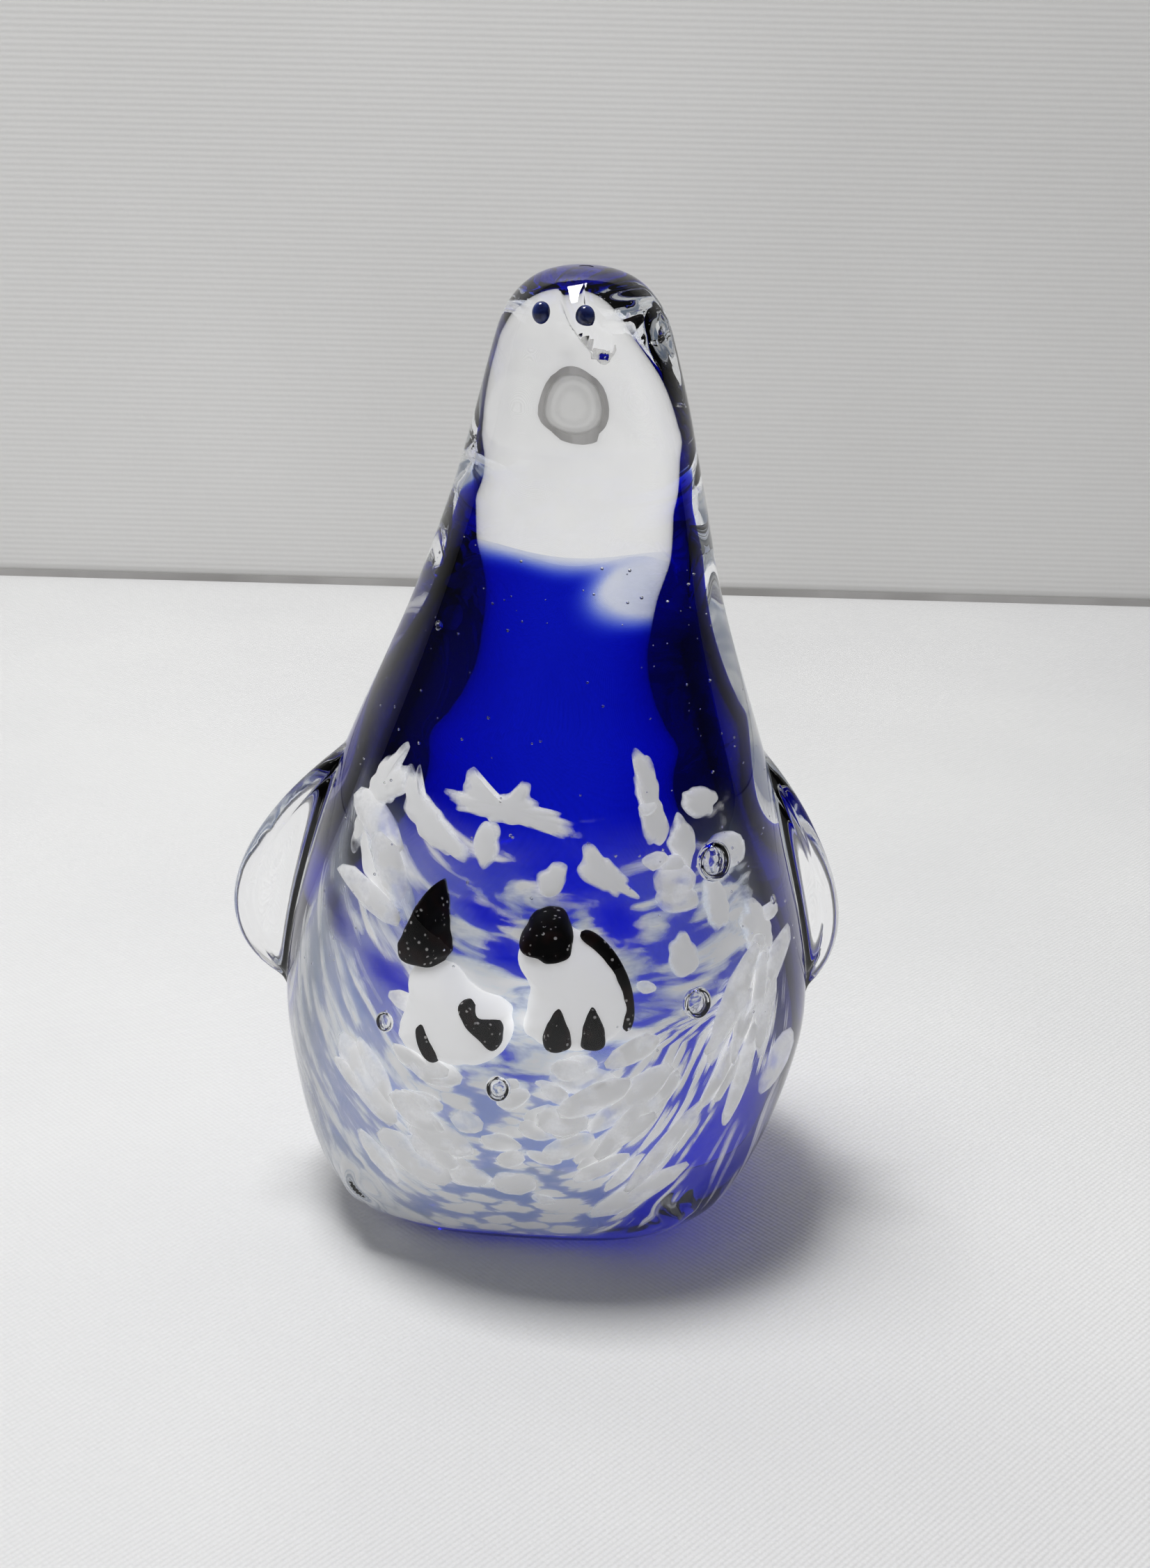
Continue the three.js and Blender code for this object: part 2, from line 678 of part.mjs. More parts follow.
function chickGeometry(part) {
  if (part.thread) {
    const route = part.thread.map(([across, up]) => part.place(across, up, STRIPE_LIFT));
    return drawnBit(route, STRIPE_RADIUS, STRIPE_TIP_RADIUS, THREAD_SIDES, THREAD_STAGES);
  }
  return pebble(part);
}

for (const part of Object.values(chickParts)) {
  part.geometry = shaped(chickGeometry(part));
}

// Applied bits on the outside, trimmed to the body
const outside = shaped(turned(body.profile));

function wingGeometry(side, reach) {
  const at = (share, out) => {
    const height = THREE.MathUtils.lerp(WING_BOTTOM, WING_TOP, share);
    return [body.radiusAt(height) + out, height];
  };
  const root = WING_CURVE.map(([share]) => at(share, -WING_ROOT)).reverse();
  return shaped(pebble({
    outline: [...WING_CURVE.map(([share, out]) => at(share, out * reach)), ...root],
    front: WING_DEPTH / 2,
    back: WING_DEPTH / 2,
    steps: 24,
    rings: 3,
    place: (across, up, out) => [side * across, -out, up],
  }));
}

// Beak: a blunt oval cone that hangs from between the eyes, with its tip to one side
function beakGeometry() {
  const length = BEAK_SUNK + BEAK_REACH;
  const height = headZ + BEAK_RISE;
  const cone = new THREE.CylinderGeometry(BEAK_TIP_RADIUS, BEAK_ROOT_RADIUS, length, BEAK_SIDES, BEAK_STAGES);
  cone.translate(0, length / 2 - BEAK_SUNK, 0).scale(1, 1, BEAK_TALL);
  cone.rotateX(Math.PI + radians(BEAK_DROOP)).rotateZ(radians(BEAK_YAW));
  return shaped(cone.translate(BEAK_SIDE, -body.radiusAt(height), height));
}

const beak = beakGeometry();

function eyeGeometry(azimuth) {
  const height = headZ + EYE_RISE;
  const middle = pointAt(body.radiusAt(height), radians(azimuth), height);
  return shaped(new THREE.SphereGeometry(EYE_RADIUS, EYE_COLUMNS, EYE_ROWS).translate(...middle));
}

function footGeometry(azimuth) {
  const outline = FOOT_CURVE.map(([across, up]) => [(across * FOOT_WIDTH) / 2, (up * FOOT_HEIGHT) / 2]);
  const place = seatOn(body, azimuth, FOOT_MIDDLE, GAP);
  return shaped(pebble({ outline, front: FOOT_DEPTH, rings: 3, place }));
}

const eyes = {
  left_eye: eyeGeometry(LEFT_EYE_AZIMUTH),
  right_eye: eyeGeometry(RIGHT_EYE_AZIMUTH),
};

// Clear casing: the body, hollowed where the core, the cobalt, the white glass and the chicks lie
const embedded = [gather, snowBed, ...flakeGeometries, ...Object.values(eyes),
  ...Object.values(chickParts).map((part) => part.geometry)];
const casing = carved(outside, embedded, POCKET_GAP);
const core = carved(gather, [cobaltWrap], GAP);

addPiece('clear_casing', casing, GLASS);
addPiece('clear_core', core, GLASS);
addPiece('cobalt_wrap', solid(cobaltWrap), COBALT);
addPiece('snow_bed', solid(snowBed), WHITE);
flakeGeometries.forEach((geometry, i) => {
  addPiece(`white_flake_${String(i + 1).padStart(2, '0')}`, solid(geometry), WHITE);
});
for (const [name, part] of Object.entries(chickParts)) {
  const inlaid = (part.inlaid ?? []).map((other) => chickParts[other].geometry);
  addPiece(name, carved(part.geometry, inlaid, GAP), part.finish);
}
addPiece('left_wing', carved(wingGeometry(-1, LEFT_WING_REACH), [outside], GAP), GLASS);
addPiece('right_wing', carved(wingGeometry(1, RIGHT_WING_REACH), [outside], GAP), GLASS);
addPiece('beak', carved(beak, [outside, ...Object.values(eyes)], GAP), GLASS);
for (const [name, geometry] of Object.entries(eyes)) {
  addPiece(name, solid(geometry), NAVY);
}
addPiece('left_foot', solid(footGeometry(LEFT_FOOT_AZIMUTH)), GLASS);
addPiece('right_foot', solid(footGeometry(RIGHT_FOOT_AZIMUTH)), GLASS);

export default penguin;
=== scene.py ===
# %% [markdown]
# # A glass penguin paperweight
# The real object is one lump of solid glass, about 150 mm tall. A cobalt wrap, white chips,
# two small lampwork birds and air bubbles lie inside it, so nearly everything is seen through
# curved glass. The lesson therefore builds the real optics: a clear body with a true surface,
# and the coloured pieces where they are inside it. Lengths are in millimetres until a mesh is made.

# %% Load the frame
import math

import bmesh
import bpy
import numpy as np
from mathutils import Matrix, Vector, noise


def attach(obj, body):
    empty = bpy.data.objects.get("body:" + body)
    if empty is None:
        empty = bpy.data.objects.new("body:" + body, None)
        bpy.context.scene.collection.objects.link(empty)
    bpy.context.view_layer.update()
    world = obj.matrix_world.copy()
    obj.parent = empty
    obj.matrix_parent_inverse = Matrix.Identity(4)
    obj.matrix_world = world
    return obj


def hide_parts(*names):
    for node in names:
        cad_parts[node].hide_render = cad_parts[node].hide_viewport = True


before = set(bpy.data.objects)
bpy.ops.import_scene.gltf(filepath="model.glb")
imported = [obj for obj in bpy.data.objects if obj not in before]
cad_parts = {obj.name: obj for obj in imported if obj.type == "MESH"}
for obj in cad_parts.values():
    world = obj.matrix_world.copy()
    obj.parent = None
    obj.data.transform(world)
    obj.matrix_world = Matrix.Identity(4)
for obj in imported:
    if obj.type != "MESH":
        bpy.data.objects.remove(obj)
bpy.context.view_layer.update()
MM = 0.001

# %% [markdown]
# ## Camera
# The photograph looks down on the table from about 300 mm away. Its pitch, roll and focal length
# were worked out from the edges of the body and the line at the foot of the wall. The camera is
# made from those angles, so that a pixel of the photograph is a ray in the scene.

# %% Camera where the photograph was taken
IMAGE_HEIGHT = 2252
FOCAL_PIXELS = 3000
SENSOR = 24
PITCH, YAW, ROLL = (math.radians(angle) for angle in (23.2, 1.014, 1.24))
EYE_POINT = Vector((0, -294.4, 197.7)) * MM

camera = bpy.data.objects.new("photo_camera", bpy.data.cameras.new("photo_camera"))
camera.data.sensor_width = SENSOR
camera.data.lens = SENSOR * FOCAL_PIXELS / IMAGE_HEIGHT
camera.data.clip_start = 10 * MM
camera.matrix_world = (
    Matrix.Translation(EYE_POINT)
    @ Matrix.Rotation(-YAW, 4, "Z")
    @ Matrix.Rotation(math.pi / 2 - PITCH, 4, "X")
    @ Matrix.Rotation(ROLL, 4, "Z")
)
bpy.context.collection.objects.link(camera)
bpy.context.scene.camera = camera
print(f"lens {camera.data.lens:.2f} mm on a {SENSOR} mm sensor")

# %% [markdown]
# ## Node trees as sums
# A finish is a small sum: so much noise, so much of one colour. Nodes can be placed by hand, but
# sums are easier to read as Python. A Wire holds one socket and turns + - and * into Math nodes, and
# a Tree makes every other node. Both serve shader trees and geometry trees.


# %% Wires and trees
class Wire:
    """One output socket, with Python's operators for its sums."""

    def __init__(self, tree, socket):
        self.tree = tree
        self.socket = socket

    def _math(self, operation, first, second):
        return self.tree.node("ShaderNodeMath", {"operation": operation}, {0: first, 1: second})

    def __add__(self, other):
        return self._math("ADD", self, other)

    def __radd__(self, other):
        return self._math("ADD", other, self)

    def __sub__(self, other):
        return self._math("SUBTRACT", self, other)

    def __rsub__(self, other):
        return self._math("SUBTRACT", other, self)

    def __mul__(self, other):
        return self._math("MULTIPLY", self, other)

    def __rmul__(self, other):
        return self._math("MULTIPLY", other, self)


class Tree:
    """A node tree whose nodes are all made by one method."""

    def __init__(self, nodes):
        self.nodes = nodes

    def feed(self, socket, value):
        if isinstance(value, Wire):
            self.nodes.links.new(value.socket, socket)
        else:
            socket.default_value = value

    def node(self, kind, settings=None, sockets=None, out=0):
        made = self.nodes.nodes.new(kind)
        for name, value in (settings or {}).items():
            if name == "stops":
                ramp = made.color_ramp
                while len(ramp.elements) < len(value):
                    ramp.elements.new(1)
                for element, (place, colour) in zip(ramp.elements, value):
                    element.position = place
                    element.color = colour
            else:
                setattr(made, name, value)
        for key, value in (sockets or {}).items():
            self.feed(made.inputs[key], value)
        return Wire(self, made.outputs[out]) if made.outputs else made


def new_finish(name):
    """A material, the tree to build it with and its Principled shader."""
    material = bpy.data.materials.new(name)
    material.use_nodes = True
    return material, Tree(material.node_tree), material.node_tree.nodes["Principled BSDF"]


def fix(shader, **values):
    """Fixed values for inputs of a shader, with their spaces written as underscores."""
    for name, value in values.items():
        shader.inputs[name.replace("_", " ")].default_value = value


print("Wire and Tree are ready")

# %% [markdown]
# ## Table, wall and light
# The penguin stands on a pale embossed sheet in front of a ribbed pale wall. Glass shows whatever
# is round it, so the stage is part of its look: the white neck is the sheet seen upside down
# through the glass. One lamp hangs nearly overhead, a little to the left, and draws the short
# shadow. The sky is bright overhead and dim towards the horizon, and fills the rest.

# %% Finishes of the stage
WEAVE_PITCH = 1.15 * MM
RIB_PITCH = 1.7 * MM


def place_in(tree):
    return tree.node("ShaderNodeTexCoord", out="Object")


def noise_at(tree, place, scale, detail=3.0):
    return tree.node("ShaderNodeTexNoise", None,
                     {"Vector": place, "Scale": scale, "Detail": detail}, "Fac")


def ramp(tree, value, *stops):
    """A colour for a value, by stops of (place, (red, green, blue))."""
    stops = [(place, (*colour, 1)) for place, colour in stops]
    return tree.node("ShaderNodeValToRGB", {"stops": stops}, {"Fac": value})


def bump(tree, shader, height, depth, strength):
    normal = tree.node("ShaderNodeBump", None,
                       {"Height": height, "Distance": depth, "Strength": strength})
    tree.feed(shader.inputs["Normal"], normal)


def sine(tree, value, pitch):
    return tree.node("ShaderNodeMath", {"operation": "SINE"}, {0: value * (2 * math.pi / pitch)})


def scaled(tree, vector, value):
    return tree.node("ShaderNodeVectorMath", {"operation": "SCALE"}, {0: vector, "Scale": value})


def remap(tree, value, start, end, low=0.0, high=1.0):
    """A value moved from one range to another and held at its ends."""
    return tree.node("ShaderNodeMapRange", None, {
        "Value": value, "From Min": start, "From Max": end, "To Min": low, "To Max": high})


def part_of(tree, place, axis):
    return tree.node("ShaderNodeSeparateXYZ", None, {0: place}, axis)


def sheet_finish():
    material, tree, shader = new_finish("embossed_sheet")
    place = place_in(tree)
    emboss = sine(tree, part_of(tree, place, "X"), WEAVE_PITCH) * sine(
        tree, part_of(tree, place, "Y"), WEAVE_PITCH)
    patchy = noise_at(tree, place, 14)
    tree.feed(shader.inputs["Base Color"],
              ramp(tree, patchy, (0.3, (0.7, 0.7, 0.705)), (0.7, (0.74, 0.74, 0.74))))
    fix(shader, Roughness=0.6, Specular_IOR_Level=0.3)
    bump(tree, shader, emboss + 2 * noise_at(tree, place, 600), 0.12 * MM, 0.5)
    return material


def wall_finish():
    material, tree, shader = new_finish("ribbed_wall")
    place = place_in(tree)
    ribs = sine(tree, part_of(tree, place, "Z"), RIB_PITCH)
    patchy = noise_at(tree, place, 9)
    tree.feed(shader.inputs["Base Color"],
              ramp(tree, patchy, (0.3, (0.86, 0.855, 0.84)), (0.7, (0.91, 0.905, 0.89))))
    fix(shader, Roughness=0.8)
    bump(tree, shader, ribs + 2 * noise_at(tree, place, 500), 0.1 * MM, 0.15)
    return material


# Painted shade: a dark grey strip for the shaded crease where the wall meets the sheet.
def crease_shade_finish():
    material, tree, shader = new_finish("painted_crease_shade")
    tree.feed(shader.inputs["Base Color"], ramp(
        tree, noise_at(tree, place_in(tree), 25), (0.35, (0.4, 0.39, 0.38)), (0.65, (0.56, 0.55, 0.54))))
    fix(shader, Roughness=0.9)
    return material


# %% Sheet, wall and lamp
SHEET_REACH = 1500
WALL_NEAR = 318
WALL_TURN = 0.036
WALL_HEIGHT = 900
KEY_PLACE = Vector((-0.2, 0.03, 1.0))
KEY_SIZE = 0.3
KEY_POWER = 8.7
SKY_SIDE = Vector((-0.1, 0.1, 0.99))
SKY_DARK, SKY_BRIGHT = 0.03, 0.16


def stage_sheet(name, corners, material):
    mesh = bpy.data.meshes.new(name)
    mesh.from_pydata([Vector(corner) * MM for corner in corners], [], [(0, 1, 2, 3)])
    mesh.materials.append(material)
    stage = bpy.data.objects.new(name, mesh)
    bpy.context.collection.objects.link(stage)


wall_left = WALL_NEAR + WALL_TURN * SHEET_REACH
wall_right = WALL_NEAR - WALL_TURN * SHEET_REACH
stage_sheet("stage_sheet", [
    (-SHEET_REACH, -SHEET_REACH, 0), (SHEET_REACH, -SHEET_REACH, 0),
    (SHEET_REACH, wall_right, 0), (-SHEET_REACH, wall_left, 0)], sheet_finish())
stage_sheet("stage_wall", [
    (-SHEET_REACH, wall_left, 0), (SHEET_REACH, wall_right, 0),
    (SHEET_REACH, wall_right, WALL_HEIGHT), (-SHEET_REACH, wall_left, WALL_HEIGHT)], wall_finish())

# A dark strip at the foot of the wall is painted shade for the crease there.
CREASE_SHADE_HEIGHT = 2.2
stage_sheet("stage_crease_shade", [
    (-SHEET_REACH, wall_left - 1, 0), (SHEET_REACH, wall_right - 1, 0),
    (SHEET_REACH, wall_right - 1, CREASE_SHADE_HEIGHT), (-SHEET_REACH, wall_left - 1, CREASE_SHADE_HEIGHT)], crease_shade_finish())

key = bpy.data.objects.new("key_lamp", bpy.data.lights.new("key_lamp", "AREA"))
key.data.size = KEY_SIZE
key.data.energy = KEY_POWER
key.location = KEY_PLACE
key.rotation_euler = (-KEY_PLACE).to_track_quat("-Z", "Y").to_euler()
bpy.context.collection.objects.link(key)

sky = bpy.data.worlds.new("studio_sky")
sky.use_nodes = True
sky_tree = Tree(sky.node_tree)
towards = sky_tree.node("ShaderNodeTexCoord", out="Generated")
facing = sky_tree.node("ShaderNodeVectorMath", {"operation": "DOT_PRODUCT"},
                       {0: towards, 1: SKY_SIDE}, "Value")
sky_light = remap(sky_tree, facing, 0.2, 0.75, SKY_DARK, SKY_BRIGHT)
sky_tree.feed(sky.node_tree.nodes["Background"].inputs["Strength"], sky_light)
sky.node_tree.nodes["Background"].inputs["Color"].default_value = (1, 1, 1, 1)
scene = bpy.context.scene
scene.world = sky
scene.view_settings.view_transform = "Standard"
GLASS_BOUNCES = 28
for limit in ("max_bounces", "transmission_bounces", "transparent_max_bounces"):
    setattr(scene.cycles, limit, GLASS_BOUNCES)
print("stage, one lamp and the sky")

# %% [markdown]
# ## Glass finishes
# Clear glass is a transmitting shader with the index of soda glass and a trace of green in its
# depth. The cobalt is fused to the clear glass, so no light bends or bounces where they meet: its
# index is 1 here, and only its depth takes colour away. White and black glass are opaque, and the
# crushed white is drawn so thin in places that the blue shows through. Inside clear glass they
# have almost no gloss of their own. The white glass also carries a painted glow: a little emission
# that brightens it, though it is no lamp.

# %% Clear, cobalt, white, torn, smeared, black and navy glass
GLASS_INDEX = 1.5
CLEAR_TINT, CLEAR_DENSITY = (0.72, 0.86, 0.8), 0.6
COBALT_TINT, COBALT_DENSITY = (0.0, 0.18, 0.915), 1500
GROUND_FACE, GROUND_ROUGHNESS = 0.4 * MM, 0.12
PURE_WHITE = (0.97, 0.97, 0.97)
OPAL_ROUGHNESS = 0.5
# Painted glow: emission strengths that brighten the snow, flakes, veil and chick bodies, which are no lamps.
WHITE_PAINTED_GLOW, CHICK_PAINTED_GLOW = 0.17, 0.31


def absorb(tree, colour, density):
    depth = tree.node("ShaderNodeVolumeAbsorption", None,
                      {"Color": (*colour, 1), "Density": density})
    output = tree.nodes.nodes["Material Output"]
    tree.feed(output.inputs["Volume"], depth)


def clear_finish():
    material, tree, shader = new_finish("clear_glass")
    place = place_in(tree)
    ground = remap(tree, part_of(tree, place, "Z"), 0.0, GROUND_FACE, GROUND_ROUGHNESS, 0.0)
    fix(shader, Base_Color=(1, 1, 1, 1), IOR=GLASS_INDEX, Transmission_Weight=1)
    tree.feed(shader.inputs["Roughness"], ground)
    absorb(tree, CLEAR_TINT, CLEAR_DENSITY)
    return material


def cobalt_finish():
    material, tree, shader = new_finish("cobalt_glass")
    place = place_in(tree)
    streaks = tree.node("ShaderNodeMapping", None, {"Vector": place, "Scale": (1, 1, 0.3)})
    streaky = noise_at(tree, streaks, 60)
    tree.feed(shader.inputs["Base Color"],
              ramp(tree, streaky, (0.35, (0.74, 0.78, 0.9)), (0.62, (1, 1, 1))))
    fix(shader, Roughness=0, IOR=1.0, Transmission_Weight=1)
    absorb(tree, COBALT_TINT, COBALT_DENSITY)
    return material


def opal_and_painted_glow(material, shader, painted_glow=WHITE_PAINTED_GLOW):
    """White glass has no gloss inside clear glass, and gets a painted glow: a little emission, though it is
    no lamp.
    """
    fix(shader, Specular_IOR_Level=0.1, Emission_Color=(1, 1, 1, 1), Emission_Strength=painted_glow)
    return material


def white_finish():
    material, tree, shader = new_finish("white_glass")
    place = place_in(tree)
    milky = noise_at(tree, place, 260)
    tree.feed(shader.inputs["Base Color"],
              ramp(tree, milky, (0.3, (0.92, 0.92, 0.92)), (0.6, (0.97, 0.97, 0.965))))
    tree.feed(shader.inputs["Roughness"], 0.45 + 0.2 * milky)
    return opal_and_painted_glow(material, shader, CHICK_PAINTED_GLOW)


def snow_finish():
    material, tree, shader = new_finish("snow_glass")
    place = place_in(tree)
    wisps = noise_at(tree, place, 260, 4)
    tree.feed(shader.inputs["Base Color"],
              ramp(tree, wisps, (0.3, (0.88, 0.89, 0.92)), (0.6, PURE_WHITE)))
    thick = remap(tree, wisps, 0.36, 0.56, 0.55, 1.0)
    rim = tree.node("ShaderNodeLayerWeight", None, {"Blend": 0.5}, "Facing")
    tree.feed(shader.inputs["Alpha"], thick * remap(tree, rim, 0.5, 1.0, 1.0, 0.15))
    fix(shader, Roughness=OPAL_ROUGHNESS)
    return opal_and_painted_glow(material, shader)


def flake_finish():
    """Torn white glass: thick in the middle and drawn out to wisps at the rim."""
    material, tree, shader = new_finish("torn_glass")
    wisps = noise_at(tree, place_in(tree), 300, 4)
    inner = tree.node("ShaderNodeAttribute", {"attribute_name": "inner"}, out="Fac")
    thick = wisps + 1.2 * inner
    tree.feed(shader.inputs["Base Color"],
              ramp(tree, thick, (0.4, (0.8, 0.84, 0.93)), (0.75, PURE_WHITE)))
    tree.feed(shader.inputs["Alpha"], remap(tree, thick, 0.42, 0.78, 0.0, 0.97))
    fix(shader, Roughness=OPAL_ROUGHNESS)
    return opal_and_painted_glow(material, shader)


def veil_finish():
    """Smeared white glass: wisps that follow the flow, and blots of half melted chips in the bed."""
    material, tree, shader = new_finish("smeared_glass")
    along, across, cover, milk, grain, shade = (
        tree.node("ShaderNodeAttribute", {"attribute_name": name}, out="Fac")
        for name in ("flow_along", "flow_across", "cover", "milk", "grain", "shade"))
    flow = tree.node("ShaderNodeCombineXYZ", None, {"X": along * 0.085, "Y": across * 0.27})
    eddies = tree.node("ShaderNodeTexNoise", None, {"Vector": flow, "Scale": 2.5}, "Color")
    wisps = tree.node("ShaderNodeTexNoise", None, {
        "Vector": flow, "Scale": 1.0, "Detail": 4.0, "Distortion": 0.6})
    warped = tree.node("ShaderNodeVectorMath", {"operation": "ADD"}, {
        0: tree.node("ShaderNodeCombineXYZ", None, {"X": along * 0.2, "Y": across * 0.42}),
        1: scaled(tree, eddies, 0.9)})
    blots = 1.05 - tree.node("ShaderNodeTexVoronoi", None, {"Vector": warped, "Scale": 1.0})
    pattern = wisps + grain * (blots - wisps)
    white = ramp(tree, pattern, (0.35, (0.5, 0.61, 0.78)), (0.64, PURE_WHITE))
    # The white of the pattern is also the colour of the painted glow.
    tree.feed(shader.inputs["Emission Color"], white)
    # Painted shade: this mark mixes the white toward grey at the far left and near the foot of the bed.
    tree.feed(shader.inputs["Base Color"], tree.node("ShaderNodeMix", {"data_type": "RGBA"}, {
        "Factor": shade, 6: white, 7: (0.4, 0.42, 0.45, 1)}, 2))
    drawn = remap(tree, pattern + 0.45 * cover, 0.64, 0.82, 0.0, 0.98) * remap(tree, cover, 0.0, 0.1)
    thickest = tree.node("ShaderNodeMath", {"operation": "MAXIMUM"}, {0: drawn, 1: milk})
    tree.feed(shader.inputs["Alpha"], thickest)
    fix(shader, Roughness=OPAL_ROUGHNESS)
    return opal_and_painted_glow(material, shader)


def black_finish():
    material, tree, shader = new_finish("black_glass")
    place = place_in(tree)
    specks = tree.node("ShaderNodeTexVoronoi", None, {"Vector": place, "Scale": 850})
    speck = remap(tree, specks, 0.14, 0.24, 0.9, 0.0)
    some = remap(tree, noise_at(tree, place, 700), 0.44, 0.5)
    brown = ramp(tree, noise_at(tree, place, 300),
                 (0.45, (0.002, 0.0015, 0.002)), (0.75, (0.02, 0.006, 0.005)))
    tree.feed(shader.inputs["Base Color"], tree.node(
        "ShaderNodeMix", {"data_type": "RGBA"},
        {"Factor": speck * some, 6: brown, 7: (0.62, 0.6, 0.58, 1)}, 2))
    fix(shader, Roughness=OPAL_ROUGHNESS, Specular_IOR_Level=0.06)
    return material


def navy_finish():
    material, tree, shader = new_finish("navy_glass")
    place = place_in(tree)
    tree.feed(shader.inputs["Base Color"], ramp(
        tree, noise_at(tree, place, 700), (0.35, (0.008, 0.012, 0.07)), (0.65, (0.03, 0.05, 0.2))))
    fix(shader, Roughness=0.08)
    return material


clear_glass = clear_finish()
cobalt_glass = cobalt_finish()
white_glass = white_finish()
snow_glass = snow_finish()
torn_glass = flake_finish()
smeared_glass = veil_finish()
black_glass = black_finish()
navy_glass = navy_finish()
print("eight glass finishes")

# %% [markdown]
# ## The side of the body
# A gaffer shapes the body by turning it, so its side is one smooth curve from the ground base to
# the crown. Paddles then flatten it front to back, square its foot, turn the head and bow it forwards.
# Stations as in the solids, closer together up the head, and a smooth curve through them give the
# half width, the half depth and the lean at any height. A shape is made round and then warped alike.

# %% Curves through stations
BODY_STATIONS = [
    # half width, lean, height
    (26, 0, 0), (33.4, 0, 8), (41.2, 1.2, 34), (35.6, 1.5, 66), (22.8, 3.6, 102), (18.3, 4.8, 118),
    (15.6, 5.2, 129), (13.1, 5.2, 139),
]
DEPTH_STATIONS = [
    # half depth, height
    (17.5, 0), (24.9, 8), (35.8, 34), (31, 66), (19.9, 102), (16.1, 118), (15.6, 121.5),
    (15.05, 125), (14.43, 128.5), (13.71, 132), (12.85, 135.5), (11.88, 139),
]
CROWN_STATIONS = [
    # half width, height
    (12.25, 141.8), (11, 144.5), (9.2, 146.8), (7, 148.5), (4, 149.6), (0, 150),
]
CLEAR_WALLS = [4, 7.5, 13, 14, 9.5, 7.4]
CURVE_STEPS = 24
BASE_SQUARE, SQUARE_TOP = 1.0, 30
BASE_TURN, HEAD_TURN, TURN_FROM, TURN_TO = math.radians(-5), math.radians(-30), 100, 145
NOD, NOD_FROM, CROWN_Z = 5, 95, 150
BOW, BOW_FROM = 7, 115
SKEW, SKEW_LEVEL, SKEW_FROM, SKEW_FULL, SKEW_FADE = -0.008, 127, 110, 124, 8


def smooth_through(points, steps, closed=False):
    """Rows of a centripetal curve through the points."""
    points = np.asarray(points, float)
    if closed:
        ring = np.vstack([points[-1:], points, points[:2]])
    else:
        ring = np.vstack([2 * points[:1] - points[1:2], points, 2 * points[-1:] - points[-2:-1]])
    rows = []
    for spans in zip(ring, ring[1:], ring[2:], ring[3:]):
        gaps = [math.sqrt(np.linalg.norm(b - a)) for a, b in zip(spans, spans[1:])]
        knots = np.concatenate([[0], np.cumsum(gaps)])
        t = np.linspace(knots[1], knots[2], steps, endpoint=False)[:, None]

        def between(a, b, first, last):
            return ((knots[last] - t) * a + (t - knots[first]) * b) / (knots[last] - knots[first])

        low = [between(spans[k], spans[k + 1], k, k + 1) for k in range(3)]
        mid = [between(low[k], low[k + 1], k, k + 2) for k in range(2)]
        rows.append(between(mid[0], mid[1], 1, 2))
    if not closed:
        rows.append(points[-1:])
    return np.vstack(rows)


head_lean = BODY_STATIONS[-1][1]
crown = [(radius, head_lean, z) for radius, z in CROWN_STATIONS]
body_side = smooth_through(BODY_STATIONS + crown, CURVE_STEPS)
crown_flat = DEPTH_STATIONS[-1][0] / BODY_STATIONS[-1][0]
crown_depth = [(radius * crown_flat, z) for radius, z in CROWN_STATIONS]
depth_side = smooth_through(DEPTH_STATIONS + crown_depth, CURVE_STEPS)
cobalt_side = smooth_through([(radius - wall, lean, z) for (radius, lean, z), wall
                              in zip(BODY_STATIONS, CLEAR_WALLS)], CURVE_STEPS)


def body_radius(z):
    return np.interp(z, body_side[:, 2], body_side[:, 0])


def cobalt_radius(z):
    return np.interp(z, cobalt_side[:, 2], cobalt_side[:, 0])


def flatness(z):
    """Depth of the body as a share of its width, which stays the same over the crown."""
    z = np.minimum(z, CROWN_STATIONS[2][1])
    return np.interp(z, depth_side[:, 1], depth_side[:, 0]) / body_radius(z)


def lean_at(z):
    return np.interp(z, body_side[:, 2], body_side[:, 1])


def share_of(value, low, high):
    return np.clip((value - low) / (high - low), 0, 1)


def ease(value, low, high):
    share = share_of(value, low, high)
    return share * share * (3 - 2 * share)


def shaped(x, y, z):
    """Points of a turned shape, as the flattened, twisted and leaning body has them."""
    x, y, z = np.broadcast_arrays(x, y, z)
    turn = BASE_TURN + (HEAD_TURN - BASE_TURN) * ease(z, TURN_FROM, TURN_TO)
    side = x * np.cos(turn) + y * np.sin(turn)
    front = x * np.sin(turn) - y * np.cos(turn)
    power = 2 + BASE_SQUARE * (1 - ease(z, 0, SQUARE_TOP))
    radius = np.maximum(np.hypot(side, front), 1e-9)
    corner = ((np.abs(side) / radius) ** power + (np.abs(front) / radius) ** power) ** (-1 / power)
    side, front = side * corner, front * corner * flatness(z)
    nod = NOD * share_of(z, NOD_FROM, CROWN_Z) ** 2 - BOW * share_of(z, BOW_FROM, CROWN_Z) ** 3
    skew = SKEW * side * (z - SKEW_LEVEL) * ease(z, SKEW_FROM, SKEW_FULL) * ease(-front, 0, SKEW_FADE)
    return np.stack([side * np.cos(turn) + front * np.sin(turn) + lean_at(z),
                     side * np.sin(turn) - front * np.cos(turn) + nod + skew, z], axis=-1)


print(f"crown at {body_side[-1, 2]:.1f} mm, widest {body_side[:, 0].max():.1f} mm")

